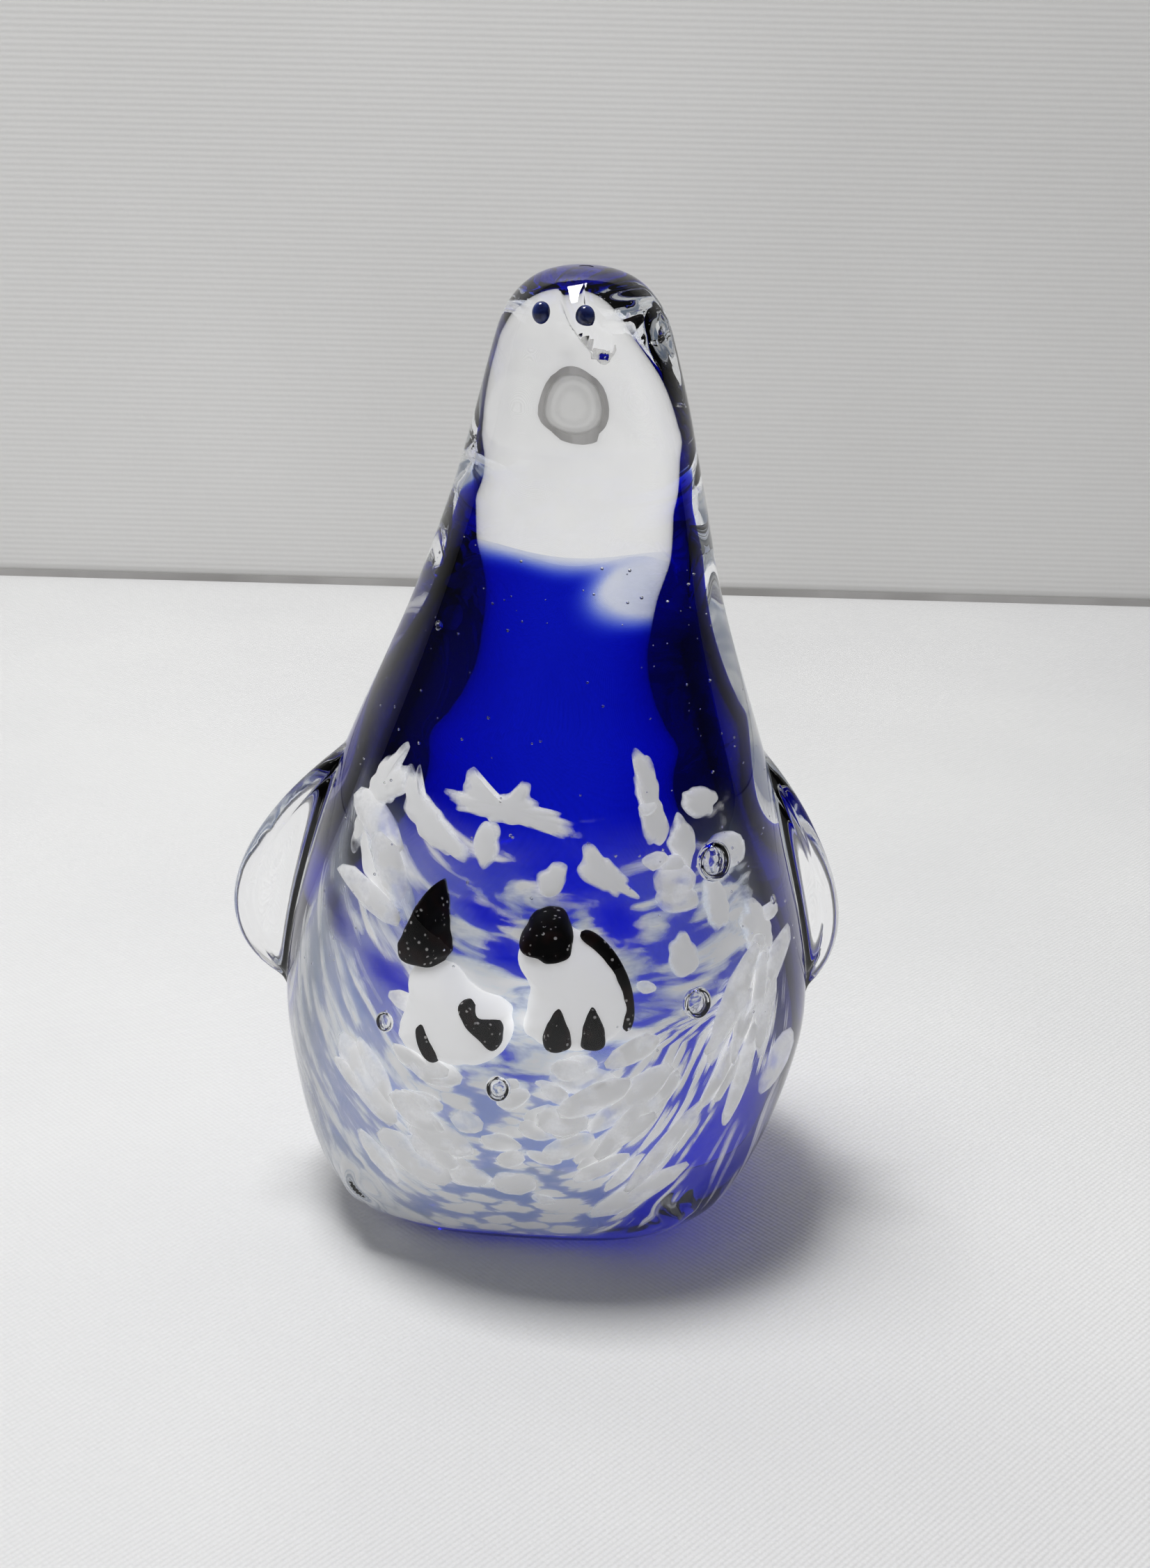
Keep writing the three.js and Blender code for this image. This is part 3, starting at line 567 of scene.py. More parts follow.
# %% Pieces from grids of points
def shell(grid, ring=False):
    """Points and faces of a grid that closes along its columns, and along its rows if it is a ring."""
    rows, columns = grid.shape[:2]
    index = np.arange(rows * columns).reshape(rows, columns)
    low = index if ring else index[:-1]
    high = np.roll(index, -1, axis=0) if ring else index[1:]
    faces = np.stack([low, np.roll(low, -1, axis=1), np.roll(high, -1, axis=1), high], axis=-1)
    return grid.reshape(-1, 3), faces.reshape(-1, 4)


def mark(mesh, **values):
    """Numbers on the points of a mesh, by name."""
    for name, numbers in values.items():
        layer = mesh.attributes.new(name, "FLOAT", "POINT")
        layer.data.foreach_set("value", np.ravel(numbers))


def closed_mesh(name, points, faces, **marks):
    """A smooth mesh in metres, with doubles merged and faces outwards."""
    mesh = bpy.data.meshes.new(name)
    mesh.from_pydata((np.asarray(points) * MM).tolist(), [], np.asarray(faces).tolist())
    mark(mesh, **marks)
    work = bmesh.new()
    work.from_mesh(mesh)
    bmesh.ops.remove_doubles(work, verts=work.verts, dist=0.001 * MM)
    bmesh.ops.recalc_face_normals(work, faces=work.faces)
    for face in work.faces:
        face.smooth = True
    work.to_mesh(mesh)
    work.free()
    return mesh


def show(name, mesh, material, slot, *nodes):
    """A piece of the penguin that stands for nodes of the solids."""
    if not mesh.materials:
        mesh.materials.append(material)
    piece = bpy.data.objects.new(name, mesh)
    bpy.context.collection.objects.link(piece)
    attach(piece, "root")
    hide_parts(*nodes)
    print(f"{name}: {len(mesh.polygons)} faces for {len(nodes)} nodes")


# %% [markdown]
# ## The clear body
# Wings, beak and feet are drawn out of the same hot glass as the body, so there is no seam where
# they leave it. Joined meshes would show a false surface inside the glass. One grid is used
# instead: columns round the body, rows from base to crown, and each feature pushes part of the
# grid outwards. Columns and rows lie closer together where a feature makes the surface steep.

# %% What the tools did to the surface
WING_FOOT, WING_TOP = 38, 77
LEFT_REACH, RIGHT_REACH = 10.2, 6.6
WING_HALF, WING_FILLET = 2.7, 0.9
WING_WIDEST_Z = 52
BEAK_ROOT_Z, BEAK_TIP_Z, BEAK_FALL = 149, 141.5, 1.6
BEAK_REACH, BEAK_WIDE, BEAK_TIP_WIDE = 5.6, 1.7, 1.6
BEAK_DROOP = math.radians(24)
BEAK_SIDE, BEAK_SWAY = -2.4, 4.2
BEAK_MIDDLE_Z, BEAK_AZIMUTH = 144, math.radians(-8)
FOOT_AZIMUTHS = np.radians([-46, 31])
FOOT_Z = 11
FOOT_RISE, FOOT_WIDE, FOOT_TALL = 2.1, 4.2, 5.2


def wing_push(x, y, z):
    """How far a fin stands out: flat sides, a round rim and a fillet where it leaves the body."""
    share = share_of(z, WING_FOOT, WING_TOP)
    swell = np.sin(np.pi * share ** 0.8) ** 0.8
    reach = np.where(x < 0, LEFT_REACH, RIGHT_REACH) * swell
    rim = np.minimum(WING_HALF / np.maximum(reach, 0.01), 1)
    rounded = np.sqrt(np.clip(1 - (y / WING_HALF) ** 2, 0, 1))
    fillet = np.exp(-(np.maximum(np.abs(y) - WING_HALF, 0) / WING_FILLET) ** 2)
    return np.sign(x) * reach * ((1 - rim) * fillet + rim * rounded)


def beak_push(x, y, z):
    """How far the beak is drawn: a ridge that grows from between the eyes down to its tip."""
    down = np.clip((BEAK_ROOT_Z - z) / (BEAK_ROOT_Z - BEAK_TIP_Z), 0, 1)
    grown_out = 0.4 * ease(down, 0, 0.3) + 0.6 * down ** 2.5
    grown_out = grown_out * ease(z, BEAK_TIP_Z - BEAK_FALL, BEAK_TIP_Z)
    wide = BEAK_WIDE + (BEAK_TIP_WIDE - BEAK_WIDE) * down
    aside = np.abs(x - BEAK_SIDE - BEAK_SWAY * down ** 3) / wide
    return np.where(y < 0, BEAK_REACH * grown_out * np.sqrt(np.clip(1 - aside ** 2, 0, 1)), 0)


def foot_push(azimuth, z):
    """Folded bits of glass at the heel."""
    push = 0
    for middle in FOOT_AZIMUTHS:
        across = (azimuth - middle) * body_radius(FOOT_Z)
        twist = across + 1.6 * np.sin((z - FOOT_Z) * 0.55)
        fold = 0.86 + 0.14 * np.cos(twist * 1.6)
        lump = np.exp(-(across / FOOT_WIDE) ** 2 - ((z - FOOT_Z) / FOOT_TALL) ** 2)
        push = push + FOOT_RISE * fold * lump
    return push


# %% Columns and rows
COLUMN_STEP, ROW_STEP = math.radians(2.2), 1.25
FINE_STEPS = 7201
BASE_FLAT, BASE_RINGS, BASE_EDGE = 25, 8, (25.6, 0.1)


def spaced(table, weight):
    """Values from a table, closer together where the weight of a step is larger."""
    total = np.concatenate([[0], np.cumsum(weight)])
    count = int(total[-1])
    return np.interp(np.arange(count) * total[-1] / count, total, table)


fine = np.linspace(-math.pi, math.pi, FINE_STEPS)
middles = (fine[1:] + fine[:-1]) / 2
wing_radius = body_radius(WING_WIDEST_Z)
wing_curve = wing_push(wing_radius * np.sin(fine), -wing_radius * np.cos(fine), WING_WIDEST_Z)
steepness = np.abs(np.diff(wing_curve)) / 0.55
near_beak = np.exp(-((middles - BEAK_AZIMUTH) / math.radians(13)) ** 4)
near_feet = sum(np.exp(-((middles - foot) / math.radians(8)) ** 4) for foot in FOOT_AZIMUTHS)
step = np.diff(fine)
columns = spaced(fine, step / COLUMN_STEP + steepness + step * (near_beak / math.radians(1.1)
                                                               + near_feet / math.radians(0.9)))

profile = np.vstack([[(r, 0) for r in np.linspace(0, BASE_FLAT, BASE_RINGS)], [BASE_EDGE],
                     body_side[body_side[:, 2] > 0.4][:, [0, 2]]])
lengths = np.linalg.norm(np.diff(profile, axis=0), axis=1)
heights = (profile[1:, 1] + profile[:-1, 1]) / 2
closer = (1 + 1.6 * np.exp(-((heights - BEAK_MIDDLE_Z) / 5) ** 4)
          + 0.8 * np.exp(-((heights - FOOT_Z) / 7) ** 4))
along = np.concatenate([[0], np.cumsum(lengths)])
row_places = np.append(spaced(along, lengths * closer / ROW_STEP), along[-1])
row_radius = np.interp(row_places, along, profile[:, 0])[:, None]
row_z = np.interp(row_places, along, profile[:, 1])[:, None]
print(f"{len(columns)} columns and {len(row_places)} rows")

# %% Push the grid out
azimuth = columns[None, :]
out = row_radius + foot_push(azimuth, row_z)
x = out * np.sin(azimuth)
y = -out * np.cos(azimuth)
beak = beak_push(x, y, row_z)
x = x + wing_push(x, y, row_z)
body_grid = shaped(x, y - beak * math.cos(BEAK_DROOP), row_z - beak * math.sin(BEAK_DROOP))
body_mesh = closed_mesh("glass_body", *shell(body_grid))
print(f"{len(body_mesh.polygons)} faces in the clear body")

# %% [markdown]
# ## Bubbles
# Air is trapped wherever a gather folds over chips. A bubble is a hole in the body, so its faces
# look inwards, to the air. The larger ones are placed by the photograph and the fine seed is
# scattered over the cobalt. Geometry Nodes put one small ball on each point and turn it inside out.

# %% Geometry Nodes helpers
KINDS = {"Geometry": "NodeSocketGeometry", "Material": "NodeSocketMaterial", "Seed": "NodeSocketInt"}


def node_group(name, *inputs):
    """A geometry tree with named inputs, and a wire for each of them."""
    group = bpy.data.node_groups.new(name, "GeometryNodeTree")
    group.interface.new_socket("Geometry", in_out="OUTPUT", socket_type=KINDS["Geometry"])
    for label in ("Geometry", *inputs):
        kind = KINDS.get(label, "NodeSocketFloat")
        group.interface.new_socket(label, in_out="INPUT", socket_type=kind)
    tree = Tree(group)
    source = group.nodes.new("NodeGroupInput")
    return tree, {socket.name: Wire(tree, socket) for socket in source.outputs if socket.name}


def end_group(tree, wire, material):
    real = tree.node("GeometryNodeRealizeInstances", None, {"Geometry": wire})
    soft = tree.node("GeometryNodeSetShadeSmooth", None, {"Geometry": real, "Shade Smooth": True})
    done = tree.node("GeometryNodeSetMaterial", None, {"Geometry": soft, "Material": material})
    tree.feed(tree.nodes.nodes.new("NodeGroupOutput").inputs[0], done)


def attribute(tree, name, kind="FLOAT"):
    return tree.node("GeometryNodeInputNamedAttribute", {"data_type": kind}, {"Name": name})


def random_value(tree, low, high, seed):
    return tree.node("FunctionNodeRandomValue", {"data_type": "FLOAT"}, {2: low, 3: high, 8: seed}, 1)


def grown(mesh, tree, values):
    """The plain mesh that a geometry tree makes of a mesh."""
    carrier = bpy.data.objects.new("carrier", mesh)
    bpy.context.collection.objects.link(carrier)
    modifier = carrier.modifiers.new("tree", "NODES")
    modifier.node_group = tree.nodes
    for item in tree.nodes.interface.items_tree:
        if item.in_out == "INPUT" and item.name in values:
            modifier[item.identifier] = values[item.name]
    ready = carrier.evaluated_get(bpy.context.evaluated_depsgraph_get())
    made = bpy.data.meshes.new_from_object(ready)
    carrier.modifiers.clear()
    bpy.data.objects.remove(carrier)
    return made


# %% Bubble tree
def bubble_tree(name, facets):
    tree, given = node_group(name, "Material")
    ball = tree.node("GeometryNodeMeshIcoSphere", None, {"Radius": 1.0, "Subdivisions": facets})
    inside_out = tree.node("GeometryNodeFlipFaces", None, {"Mesh": ball})
    bubbles = tree.node("GeometryNodeInstanceOnPoints", None, {
        "Points": given["Geometry"], "Instance": inside_out,
        "Scale": attribute(tree, "bubble_size", "FLOAT_VECTOR")})
    end_group(tree, bubbles, given["Material"])
    return tree


def marked_points(name, points, sizes):
    """Loose points in metres, each with the three half widths of its bubble."""
    mesh = bpy.data.meshes.new(name)
    mesh.from_pydata((np.asarray(points) * MM).tolist(), [], [])
    half_widths = mesh.attributes.new("bubble_size", "FLOAT_VECTOR", "POINT")
    half_widths.data.foreach_set("vector", (np.asarray(sizes) * MM).ravel())
    return mesh


# %% Large bubbles and fine seed
BUBBLES = [
    # azimuth, depth under the surface, height, radius
    (48.2, 5.3, 67.3, 2.7),
    (36.0, 4.5, 48.2, 2.2),
    (-39.7, 4.5, 43.8, 1.4),
    (-10.9, 3.9, 37.5, 1.8),
    (-64.6, 5.2, 98.7, 0.7),
    (68.0, 3.1, 58.0, 0.7),
]
BUBBLE_TALL = 1.12
SEED_COUNT, SEED_DRAW = 170, 7
SEED_LOW, SEED_HIGH, SEED_SIDE = 42, 112, 110


def round_point(azimuth, radius, z):
    turn = np.radians(azimuth)
    return shaped(radius * np.sin(turn), -radius * np.cos(turn), z)


large = [round_point(az, body_radius(z) - deep, z) for az, deep, z, _ in BUBBLES]
large_sizes = [(r, r, r * BUBBLE_TALL) for *_, r in BUBBLES]
draw = np.random.default_rng(SEED_DRAW)
seed_z = draw.uniform(SEED_LOW, SEED_HIGH, SEED_COUNT)
seed_azimuth = draw.uniform(-SEED_SIDE, SEED_SIDE, SEED_COUNT)
share = draw.uniform(0.08, 0.75, SEED_COUNT)
seed_radius = cobalt_radius(seed_z) * (1 - share) + body_radius(seed_z) * share
seed = round_point(seed_azimuth, seed_radius, seed_z)
seed_sizes = np.repeat(draw.uniform(0.08, 0.26, SEED_COUNT)[:, None], 3, axis=1)

fill = {"Material": clear_glass}
body_work = bmesh.new()
body_work.from_mesh(body_mesh)
body_work.from_mesh(grown(marked_points("large", large, large_sizes), bubble_tree("large_bubbles", 4), fill))
body_work.from_mesh(grown(marked_points("seed", seed, seed_sizes), bubble_tree("seed_bubbles", 2), fill))
body_work.to_mesh(body_mesh)
body_work.free()
show("glass_body", body_mesh, clear_glass, "clear_glass", "clear_casing", "clear_core", "left_wing",
     "right_wing", "beak", "left_foot", "right_foot")

# %% [markdown]
# ## The cobalt wrap
# Blue glass was laid over the first gather and covered with clear. It is a thin sleeve that
# fades out at its top edge. All along the right side a clear bay lies just under that edge. A grid
# that runs up the outside and down the inside closes on itself as a ring.

# %% Cobalt sleeve
COBALT_DEPTH = 2.0
COBALT_EDGE = 0.01
COBALT_FADE = 4
COBALT_FRONT, COBALT_BACK = 110.3, 105
BAY_DEPTH, BAY_FULL, BAY_CLOSING = 10, 47, 143
BAY_FRONT_ROUND, BAY_BACK_ROUND = 36, 22
BAY_MIDDLE = 5.6
SLEEVE_FOOT = 2.5
SLEEVE_COLUMNS, SLEEVE_ROWS = 240, 90


def cobalt_top(azimuth):
    middle, swing = (COBALT_FRONT + COBALT_BACK) / 2, (COBALT_FRONT - COBALT_BACK) / 2
    return middle + swing * np.cos(np.radians(azimuth)) - 0.8 * np.cos(np.radians(4 * (azimuth + 2)))


def cobalt_depth(azimuth, under):
    """Depth of the blue under its edge. A long clear bay leaves only a thin tongue above it."""
    before = np.maximum(BAY_FULL - azimuth, 0) / BAY_FRONT_ROUND
    after = np.maximum(azimuth - BAY_CLOSING, 0) / BAY_BACK_ROUND
    from_bay = np.hypot(before + after, (under - BAY_MIDDLE) / (BAY_DEPTH / 2))
    full = ease(from_bay, 0.85, 1.5) * ease(under, 0, COBALT_FADE)
    return COBALT_EDGE + (COBALT_DEPTH - COBALT_EDGE) * full


sleeve_azimuth = np.linspace(-180, 180, SLEEVE_COLUMNS, endpoint=False)[None, :]
climb = 1 - np.linspace(1, 0, SLEEVE_ROWS)[:, None] ** 2
sleeve_z = SLEEVE_FOOT + (cobalt_top(sleeve_azimuth) - SLEEVE_FOOT) * climb
depth = cobalt_depth(sleeve_azimuth, cobalt_top(sleeve_azimuth) - sleeve_z)
outside = round_point(sleeve_azimuth, cobalt_radius(sleeve_z), sleeve_z)
inside = round_point(sleeve_azimuth, cobalt_radius(sleeve_z) - depth, sleeve_z)
sleeve = np.concatenate([outside, inside[::-1]])
show("cobalt_sleeve", closed_mesh("cobalt_sleeve", *shell(sleeve, ring=True)), cobalt_glass,
     "cobalt_glass", "cobalt_wrap")

# %% [markdown]
# ## Snow of white chips
# The bed of snow is crushed white glass, picked up hot and smeared by the next gather: lumps at
# the crest, long streaks on the right, a thick cloud on the left. Thousands of bits are a job for
# Geometry Nodes. The ground they are scattered on carries how thickly they lie, how big they are,
# how far they are drawn out and which way they flow.

# %% Ground for the chips
SNOW_FOOT, SNOW_CREST = 4, 36.5
SNOW_GAP, SNOW_GAP_FROM, SNOW_GAP_TO = 25, 14, 60
SNOW_RIGHT_LIFT, SNOW_LEFT_LIFT = 8, 14
GROUND_COLUMNS, GROUND_ROWS = 116, 44
GROUND_LEFT, GROUND_RIGHT, GROUND_TOP = -128, 98, 80
GAP, CHIP_SEAT = 0.3, 0.5


def snow_foot(azimuth):
    return SNOW_FOOT + SNOW_GAP * ease(azimuth, SNOW_GAP_FROM, SNOW_GAP_TO)


def snow_crest(azimuth):
    ripple = np.sin(np.radians(7 * azimuth)) + 0.7 * np.sin(np.radians(13 * azimuth))
    crest = SNOW_CREST + SNOW_RIGHT_LIFT * ease(azimuth, -20, 52) + SNOW_LEFT_LIFT * ease(-azimuth, 40, 80)
    return crest + ripple


ground_azimuth, ground_z = np.meshgrid(np.linspace(GROUND_LEFT, GROUND_RIGHT, GROUND_COLUMNS),
                                       np.linspace(SNOW_FOOT, GROUND_TOP, GROUND_ROWS))
ground = round_point(ground_azimuth, cobalt_radius(ground_z) + CHIP_SEAT, ground_z)
from_left, from_right = ground_azimuth - GROUND_LEFT, GROUND_RIGHT - ground_azimuth
over_foot = ground_z - snow_foot(ground_azimuth)
thinning = ease(from_left, 2, 30) * ease(from_right, 2, 20)
below_crest = ease(snow_crest(ground_azimuth) - ground_z, -1, 2)
in_bed = below_crest * ease(over_foot, -1, 2)
under_bed = below_crest * ease(-over_foot, -2, 4)
rising = below_crest * ease(ground_azimuth, 0, 35)
to_left = ease(-ground_azimuth, 18, 50)
to_right = ease(ground_azimuth, 20, 45)
above_bed = (1 - in_bed) * ease(over_foot, 0, 8) * ease(GROUND_TOP - ground_z, 0, 14)
streaks = in_bed * rising
slant = np.radians(8 + 48 * rising - 34 * to_left - 12 * (1 - rising))
print(f"the bed covers {in_bed.mean():.0%} of the ground")

# %% Where the chips lie
CHICK_ROOM = [(-28, 51, 17, 14), (7, 52, 15, 12)]
room = 1
for azimuth_at, z_at, wide, tall in CHICK_ROOM:
    away = ((ground_azimuth - azimuth_at) / wide) ** 2 + ((ground_z - z_at) / tall) ** 2
    room = room * (1 - np.exp(-away ** 3))
WINDOWS = [
    # places where the blue shows: azimuth, height, half width and half height
    (-82, 60, 17, 4.2), (-86, 50, 16, 2.4), (-50, 46.8, 15, 2.4), (-20, 59.5, 11, 1.9), (-12, 54, 9, 2.2),
    (22, 59, 9, 4), (6, 66, 16, 4),
]
blue = 0
for azimuth_at, z_at, wide, tall in WINDOWS:
    across_at = (ground_azimuth - azimuth_at) / wide
    away = across_at ** 2 + ((ground_z - z_at + 1.5 * across_at) / tall) ** 2
    blue = np.maximum(blue, np.exp(-away ** 2))
bed_chips = in_bed * (0.5 - 0.15 * streaks) * (1 - ease(-ground_azimuth, 48, 75)) * ease(ground_z, 10, 22)
loose_chips = above_bed * room * (0.02 + 0.035 * to_left + 0.13 * to_right)
chip_cover = thinning * (1 - blue) * (bed_chips + loose_chips)
drawn_out = 1.3 + 1.9 * streaks + 0.9 * to_left - 0.35 * to_right * (1 - in_bed)
chip_size = 0.9 + 0.15 * in_bed + 0.3 * to_left + 0.3 * to_right * (1 - in_bed)
plump = 0.65 + to_right * (1 - in_bed)
turn = np.radians(ground_azimuth)
flow = np.stack([np.cos(turn) * np.cos(slant), np.sin(turn) * np.cos(slant), np.sin(slant)], axis=-1)


def ground_mesh():
    points, faces = shell(ground)
    wraps = (np.arange(len(faces)) + 1) % GROUND_COLUMNS == 0
    mesh = bpy.data.meshes.new("snow_ground")
    mesh.from_pydata((points * MM).tolist(), [], faces[~wraps].tolist())
    mark(mesh, cover=chip_cover, drawn_out=drawn_out, chip_size=chip_size, plump=plump)
    direction = mesh.attributes.new("flow", "FLOAT_VECTOR", "POINT")
    direction.data.foreach_set("vector", flow.ravel())
    return mesh


# %% The veil under the chips
VEIL_DEPTH = 0.3
low_left = to_left * ease(34 - ground_z, 0, 16)
haze = above_bed * ease(75 - ground_z, 0, 16)
streaky = in_bed * ease(ground_azimuth, 5, 40)
veil_cover = (in_bed * (0.55 - 0.2 * streaky) + haze * (0.66 - 0.2 * to_left - 0.14 * to_right)
              + 0.16 * under_bed) * (1 - blue) * thinning
veil_milk = (in_bed * (0.48 - 0.4 * streaky) + haze * (0.1 + 0.15 * to_left)
             + 0.03 * under_bed) * (1 - 0.9 * blue) * thinning
# Painted shade: the veil turns grey at the far left and near its foot, where it lies in shade.
veil_painted_shade = np.minimum(0.8 * ease(-ground_azimuth, 58, 100) + 0.15 * low_left
                        + 0.4 * ease(16 - ground_z, 0, 10), 0.9)
arc = turn * cobalt_radius(ground_z)
climbed = np.cumsum(np.tan(slant) * np.gradient(arc, axis=1), axis=1)
across_flow = ground_z - climbed + climbed[:, GROUND_COLUMNS // 2, None]
sheet_depth = VEIL_DEPTH * ease(from_left, 0, 2) * ease(from_right, 0, 2)
veil_back = round_point(ground_azimuth, cobalt_radius(ground_z) + GAP, ground_z)
veil_front = round_point(ground_azimuth, cobalt_radius(ground_z) + GAP + sheet_depth, ground_z)


def round_the_edge(front, back):
    """Front and back of a sheet as one grid whose columns run up the front and down the back."""
    return np.concatenate([front, back[::-1]]).swapaxes(0, 1)


veil_marks = {name: round_the_edge(values, values) for name, values in (
    ("flow_along", arc), ("flow_across", across_flow), ("cover", veil_cover), ("milk", veil_milk),
    ("grain", in_bed * (1 - 0.8 * to_left)), ("shade", veil_painted_shade))}
veil_points, veil_faces = shell(round_the_edge(veil_front, veil_back))
veil = closed_mesh("snow_veil", veil_points, veil_faces, **veil_marks)
print(f"{len(veil.polygons)} faces in the veil")


# %% Chip tree
def chip_tree():
    tree, given = node_group("white_chips", "Density", "Chip", "Lift", "Seed", "Material")
    scatter = tree.node("GeometryNodeDistributePointsOnFaces", {"distribute_method": "RANDOM"}, {
        "Mesh": given["Geometry"], "Density": given["Density"] * attribute(tree, "cover"),
        "Seed": given["Seed"]})
    points = scatter.socket.node
    normal = Wire(tree, points.outputs["Normal"])
    along = tree.node("FunctionNodeAlignRotationToVector", {"axis": "X", "pivot_axis": "Z"}, {
        "Rotation": Wire(tree, points.outputs["Rotation"]),
        "Vector": attribute(tree, "flow", "FLOAT_VECTOR")})
    spin = tree.node("ShaderNodeCombineXYZ", None, {
        "X": random_value(tree, -0.35, 0.35, 5), "Y": random_value(tree, -0.3, 0.3, 6),
        "Z": random_value(tree, -0.45, 0.45, 4)})
    turned = tree.node("FunctionNodeRotateRotation", {"rotation_space": "LOCAL"}, {
        "Rotation": along, "Rotate By": tree.node("FunctionNodeEulerToRotation", None, {0: spin})})
    size = given["Chip"] * attribute(tree, "chip_size") * random_value(tree, 0.5, 1.3, 1)
    shape = tree.node("ShaderNodeCombineXYZ", None, {
        "X": size * attribute(tree, "drawn_out"), "Y": size * random_value(tree, 0.6, 1.0, 2),
        "Z": size * attribute(tree, "plump") * random_value(tree, 0.4, 0.75, 3)})
    lifted = tree.node("GeometryNodeSetPosition", None, {
        "Geometry": scatter, "Offset": scaled(tree, normal, given["Lift"] * random_value(tree, 0, 1, 8))})
    chip = tree.node("GeometryNodeMeshIcoSphere", None, {"Radius": 1.0, "Subdivisions": 2})
    chips = tree.node("GeometryNodeInstanceOnPoints", None, {
        "Points": lifted, "Instance": chip, "Rotation": turned, "Scale": shape})
    real = tree.node("GeometryNodeRealizeInstances", None, {"Geometry": chips})
    rough = tree.node("ShaderNodeTexNoise", None, {"Scale": 300.0, "Detail": 1.0}, "Color")
    centred = tree.node("ShaderNodeVectorMath", {"operation": "SUBTRACT"}, {0: rough, 1: (0.5, 0.5, 0.5)})
    broken = tree.node("GeometryNodeSetPosition", None, {
        "Geometry": real, "Offset": scaled(tree, centred, given["Chip"] * 0.7)})
    end_group(tree, broken, given["Material"])
    return tree


# %% Scatter the snow
CHIPS = {"Density": 0.085 / (MM * MM), "Chip": 2.3 * MM, "Lift": 1.6 * MM, "Seed": 3,
         "Material": snow_glass}
snow = grown(ground_mesh(), chip_tree(), CHIPS)
show("snow_chips", snow, snow_glass, "white_glass", "snow_bed")
show("snow_veil", veil, smeared_glass, "white_glass", "snow_bed")

# %% [markdown]
# ## Loose flakes
# Above the bed float larger shards, torn into flames by the flow of the glass. Each one is a
# pebble: a rounded outline that swells to a depth and lies on the cobalt. The corners follow the
# photograph, and noise tears the rims.

# %% Pebbles on the cobalt
PEBBLE_STEPS, PEBBLE_RINGS, PEBBLE_BACK = 14, 10, 0.2
TEAR_SCALE, TEAR_STEP = 0.55, 7.3


def seat_on(azimuth, z):
    """Placing on the cobalt: across runs round it, up is height and out leaves it."""
    arc = cobalt_radius(z) + GAP

    def place(across, up, out):
        radius = cobalt_radius(z + up) + GAP + out
        return round_point(azimuth + np.degrees(across / arc), radius, z + up)

    return place


def pebble_grid(outline, front, lift, place, rough, key):
    """Points of a pebble with a torn rim, and how far each lies in from the rim."""
    rim = smooth_through(outline, PEBBLE_STEPS, closed=True)
    middle = rim.mean(axis=0)
    wild = [noise.noise(Vector((*(p * TEAR_SCALE), key * TEAR_STEP))) for p in rim]
    rim = middle + (rim - middle) * (1 + rough * np.array(wild))[:, None]
    angles = np.linspace(-math.pi / 2, math.pi / 2, 2 * PEBBLE_RINGS + 1)[:, None]
    share = np.sqrt(np.clip(np.cos(angles), 0, 1))
    out = np.where(angles < 0, PEBBLE_BACK, front) * np.sin(angles)
    at = middle + share[..., None] * (rim - middle)[None]
    return place(at[..., 0], at[..., 1], lift + out + 0 * at[..., 0]), 1 - share + 0 * at[..., 0]


# %% Shape the flakes
FLAKES = [
    # corners of each, as azimuth and height
    [(-92, 64), (-88, 72), (-80, 77), (-73, 78), (-74, 75), (-64, 75.5), (-68, 72), (-76, 69),
     (-80, 64), (-86, 62)],
    [(-66, 75.5), (-62, 77), (-55, 74), (-44, 72), (-35, 69.5), (-33, 67), (-40, 67.5), (-52, 69),
     (-62, 71.5)],
    [(-43, 75.2), (-36, 76.4), (-33, 79.4), (-30, 76.8), (-18, 77), (-12.5, 79), (-10, 76.6), (0, 74.6),
     (11.5, 71.2), (2, 71.6), (-12, 73), (-28, 73.2)],
    [(12.5, 70.6), (16, 69.4), (22, 66.8), (28, 62.6), (22, 62.8), (15, 64.4), (11, 66)],
    [(34, 81), (39, 80.5), (42, 76), (44, 71), (40, 69), (36, 70), (34, 74), (32.5, 77.5)],
    [(55, 74.6), (64, 74.6), (74, 72.4), (68, 70.6), (58, 71.4)],
    [(46, 70), (51, 71.5), (56, 69), (53, 65), (49, 63), (46, 66)],
    [(57, 60), (62, 61), (67, 58.6), (66, 54.6), (60, 53.6), (57, 56)],
    [(39, 53.6), (44, 55), (48.5, 53), (47.5, 49.6), (41, 49.4), (38.5, 51)],
    [(74, 54), (82, 54), (89, 50.5), (88, 46), (80, 45), (74, 48)],
    [(-82, 63.6), (-74, 63.8), (-64, 61), (-55, 57.6), (-62, 57.4), (-74, 59.6)],
    [(-27.5, 71), (-23, 72.6), (-19.5, 71.2), (-20, 67.6), (-24, 66.4), (-27.4, 68)],
    [(-5, 64.6), (0, 67.4), (5, 67), (4, 64.4), (-1, 63.2)],
]
FLAKE_DEPTH = 1.2
FLAKE_ROUGH = 0.28
FLAKE_SPREAD = 1.1

for count, corners in enumerate(FLAKES, 1):
    corners = np.array(corners, float)
    azimuth_at, z_at = corners.mean(axis=0)
    outline = (corners - (azimuth_at, z_at)) * (math.radians(cobalt_radius(z_at) + GAP), 1)
    seat = seat_on(azimuth_at, z_at)
    grid, inner = pebble_grid(FLAKE_SPREAD * outline, FLAKE_DEPTH, 0, seat, FLAKE_ROUGH, count)
    show(f"flake_{count:02d}", closed_mesh(f"flake_{count:02d}", *shell(grid), inner=inner), torn_glass,
         "white_glass", f"white_flake_{count:02d}")

# %% [markdown]
# ## Two chicks
# The chicks are lampwork: white bodies with black heads, flippers and feet pressed into them.
# They are pebbles too, with outlines in millimetres round the middle of their feet.

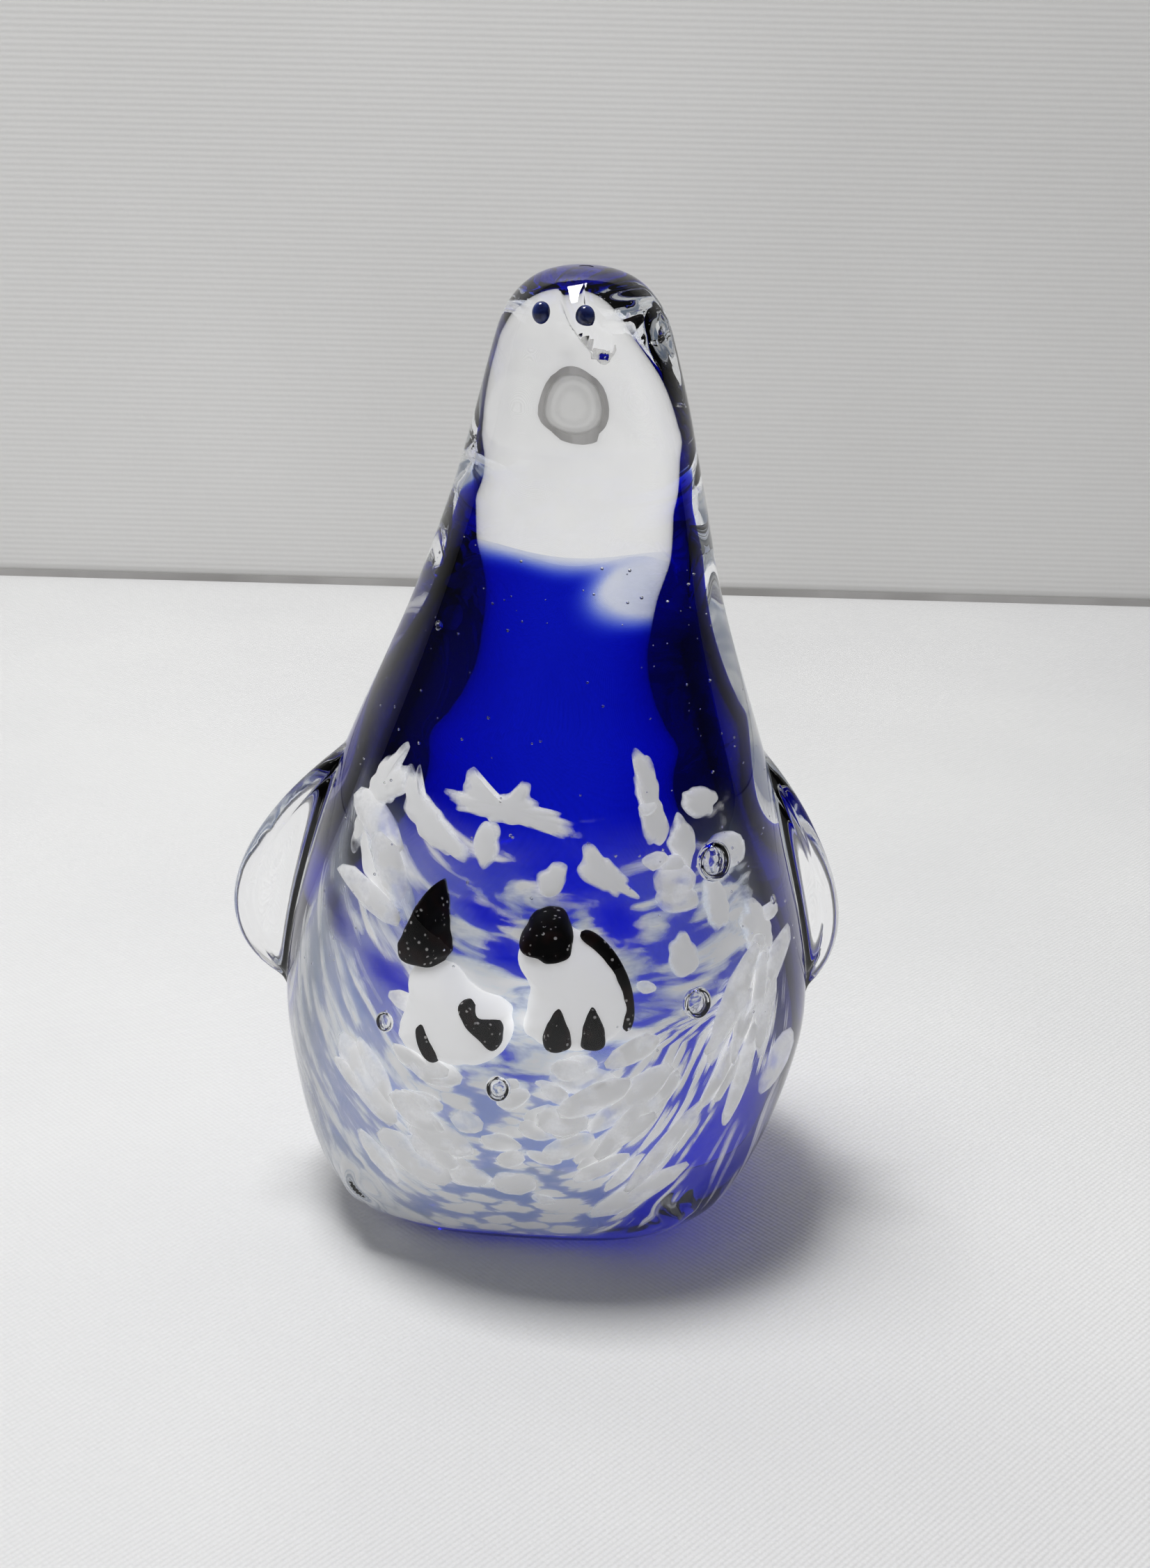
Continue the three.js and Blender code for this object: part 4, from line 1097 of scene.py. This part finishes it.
# %% Chick outlines
LEFT_SEAT = seat_on(-26, 38.4)
RIGHT_SEAT = seat_on(7.5, 42)
BODY_DEPTH, HEAD_DEPTH = 7.5, 6.2
BODY_ROUGH, LIMB_ROUGH = 0.05, 0.12
CHICKS = {
    "left_chick_body": (LEFT_SEAT, 0, BODY_DEPTH, [
        (-7.1, 1.7), (-6.4, 7.8), (-6.2, 13), (-1.6, 13.4), (2.8, 10.4), (7.2, 9), (7.8, 4.4), (5.2, 0.5),
        (-2.9, -0.4)]),
    "left_chick_head": (LEFT_SEAT, 0, HEAD_DEPTH + 0.8, [
        (-8.6, 13.6), (-8.2, 18.8), (-5.6, 24.6), (-3.4, 20), (-2.4, 14.4), (-5.4, 12.4)]),
    "left_chick_near_flipper": (LEFT_SEAT, 4.9, 3.2, [
        (-3.4, 5.8), (-2.5, 6.7), (-1.5, 5), (-0.3, 1.8), (-0.6, 0.2), (-1.7, 0.8), (-2.9, 3.2)]),
    "left_chick_far_flipper": (LEFT_SEAT, 4.9, 3.2, [
        (1.6, 9.6), (2.8, 10.4), (4.4, 8.6), (7, 7.8), (7.2, 5.2), (6.2, 3.7), (4.8, 5), (2.4, 7.4)]),
    "right_chick_body": (RIGHT_SEAT, 0, BODY_DEPTH, [
        (-6.6, 1.9), (-6.1, 8.5), (-8, 13), (-5.4, 15.4), (-0.6, 16.8), (3.8, 13.4), (6.2, 8.8), (6.3, 2.8),
        (3, -0.2), (-3, -0.2)]),
    "right_chick_head": (RIGHT_SEAT, 0, HEAD_DEPTH + 1.6, [
        (-7.7, 14.8), (-6.5, 18.3), (-4.2, 19.4), (-1.8, 19.4), (-0.3, 17.4), (-0.4, 13.6), (-2.7, 12.3),
        (-5.7, 13.3)]),
    "right_chick_left_foot": (RIGHT_SEAT, 5.2, 3.2, [
        (-4.2, 1.2), (-3.8, 5.6), (-2.5, 7.8), (-1.5, 5.6), (-1.2, 1.2), (-2.6, 0.5)]),
    "right_chick_right_foot": (RIGHT_SEAT, 5.2, 3.2, [
        (0.1, 1.2), (0.3, 5.8), (1.3, 8), (2.3, 5.8), (2.8, 1.2), (1.4, 0.5)]),
}

# %% Shape the chicks
for count, (node, (seat, lift, front, outline)) in enumerate(CHICKS.items()):
    white = node.endswith("body")
    rough = BODY_ROUGH if white else LIMB_ROUGH
    grid, _ = pebble_grid(np.array(outline), front, lift, seat, rough, count)
    show(node.replace("chick", "chick_glass"), closed_mesh(node, *shell(grid)),
         white_glass if white else black_glass, "white_glass" if white else "black_glass", node)

STRIPE = [(0.6, 17), (2.8, 15.2), (4.8, 12.4), (6.2, 8.6), (6.5, 4.6), (6.1, 2)]
STRIPE_LIFT, STRIPE_ROOT, STRIPE_TIP = 3.6, 1.1, 0.8
THREAD_STEPS, THREAD_SIDES = 8, 16


def thread_grid(points, root, tip):
    """A round thread of glass along points, with closed ends."""
    route = smooth_through(points, THREAD_STEPS)
    ahead = np.gradient(route, axis=0)
    ahead /= np.linalg.norm(ahead, axis=1)[:, None]
    across = np.cross(ahead, (0, -1, 0))
    across /= np.linalg.norm(across, axis=1)[:, None]
    over = np.cross(ahead, across)
    ends = np.sqrt(np.clip(1 - np.linspace(-1, 1, len(route)) ** 8, 0, 1))
    radius = (np.linspace(root, tip, len(route)) * ends)[:, None, None]
    turn_round = np.linspace(0, 2 * math.pi, THREAD_SIDES, endpoint=False)[None, :, None]
    ring = np.cos(turn_round) * across[:, None] + np.sin(turn_round) * over[:, None]
    return route[:, None] + radius * ring


stripe = thread_grid([RIGHT_SEAT(a, u, STRIPE_LIFT) for a, u in STRIPE], STRIPE_ROOT, STRIPE_TIP)
show("right_chick_glass_back_stripe", closed_mesh("stripe", *shell(stripe)), black_glass, "black_glass",
     "right_chick_back_stripe")

# %% [markdown]
# ## Eyes
# Two dots of dark blue glass lie half sunk at the root of the beak.

# %% Eyes
EYE_Z = 144.6
EYE_WIDE, EYE_DEEP, EYE_TALL = 1.3, 1.1, 1.55
EYE_SIDES, EYE_RINGS = 28, 17
turn_round = np.linspace(0, 2 * math.pi, EYE_SIDES, endpoint=False)[None, :]
tilt = np.linspace(-math.pi / 2, math.pi / 2, EYE_RINGS)[:, None]
level = np.cos(tilt)
dot = np.stack([EYE_WIDE * level * np.cos(turn_round), EYE_DEEP * level * np.sin(turn_round),
                EYE_TALL * np.sin(tilt) + 0 * turn_round], axis=-1)
for name, eye_azimuth in (("left_eye", -37), ("right_eye", -3)):
    middle = round_point(eye_azimuth, body_radius(EYE_Z), EYE_Z)
    show(name + "_glass", closed_mesh(name, *shell(middle + dot)), navy_glass, "navy_glass", name)
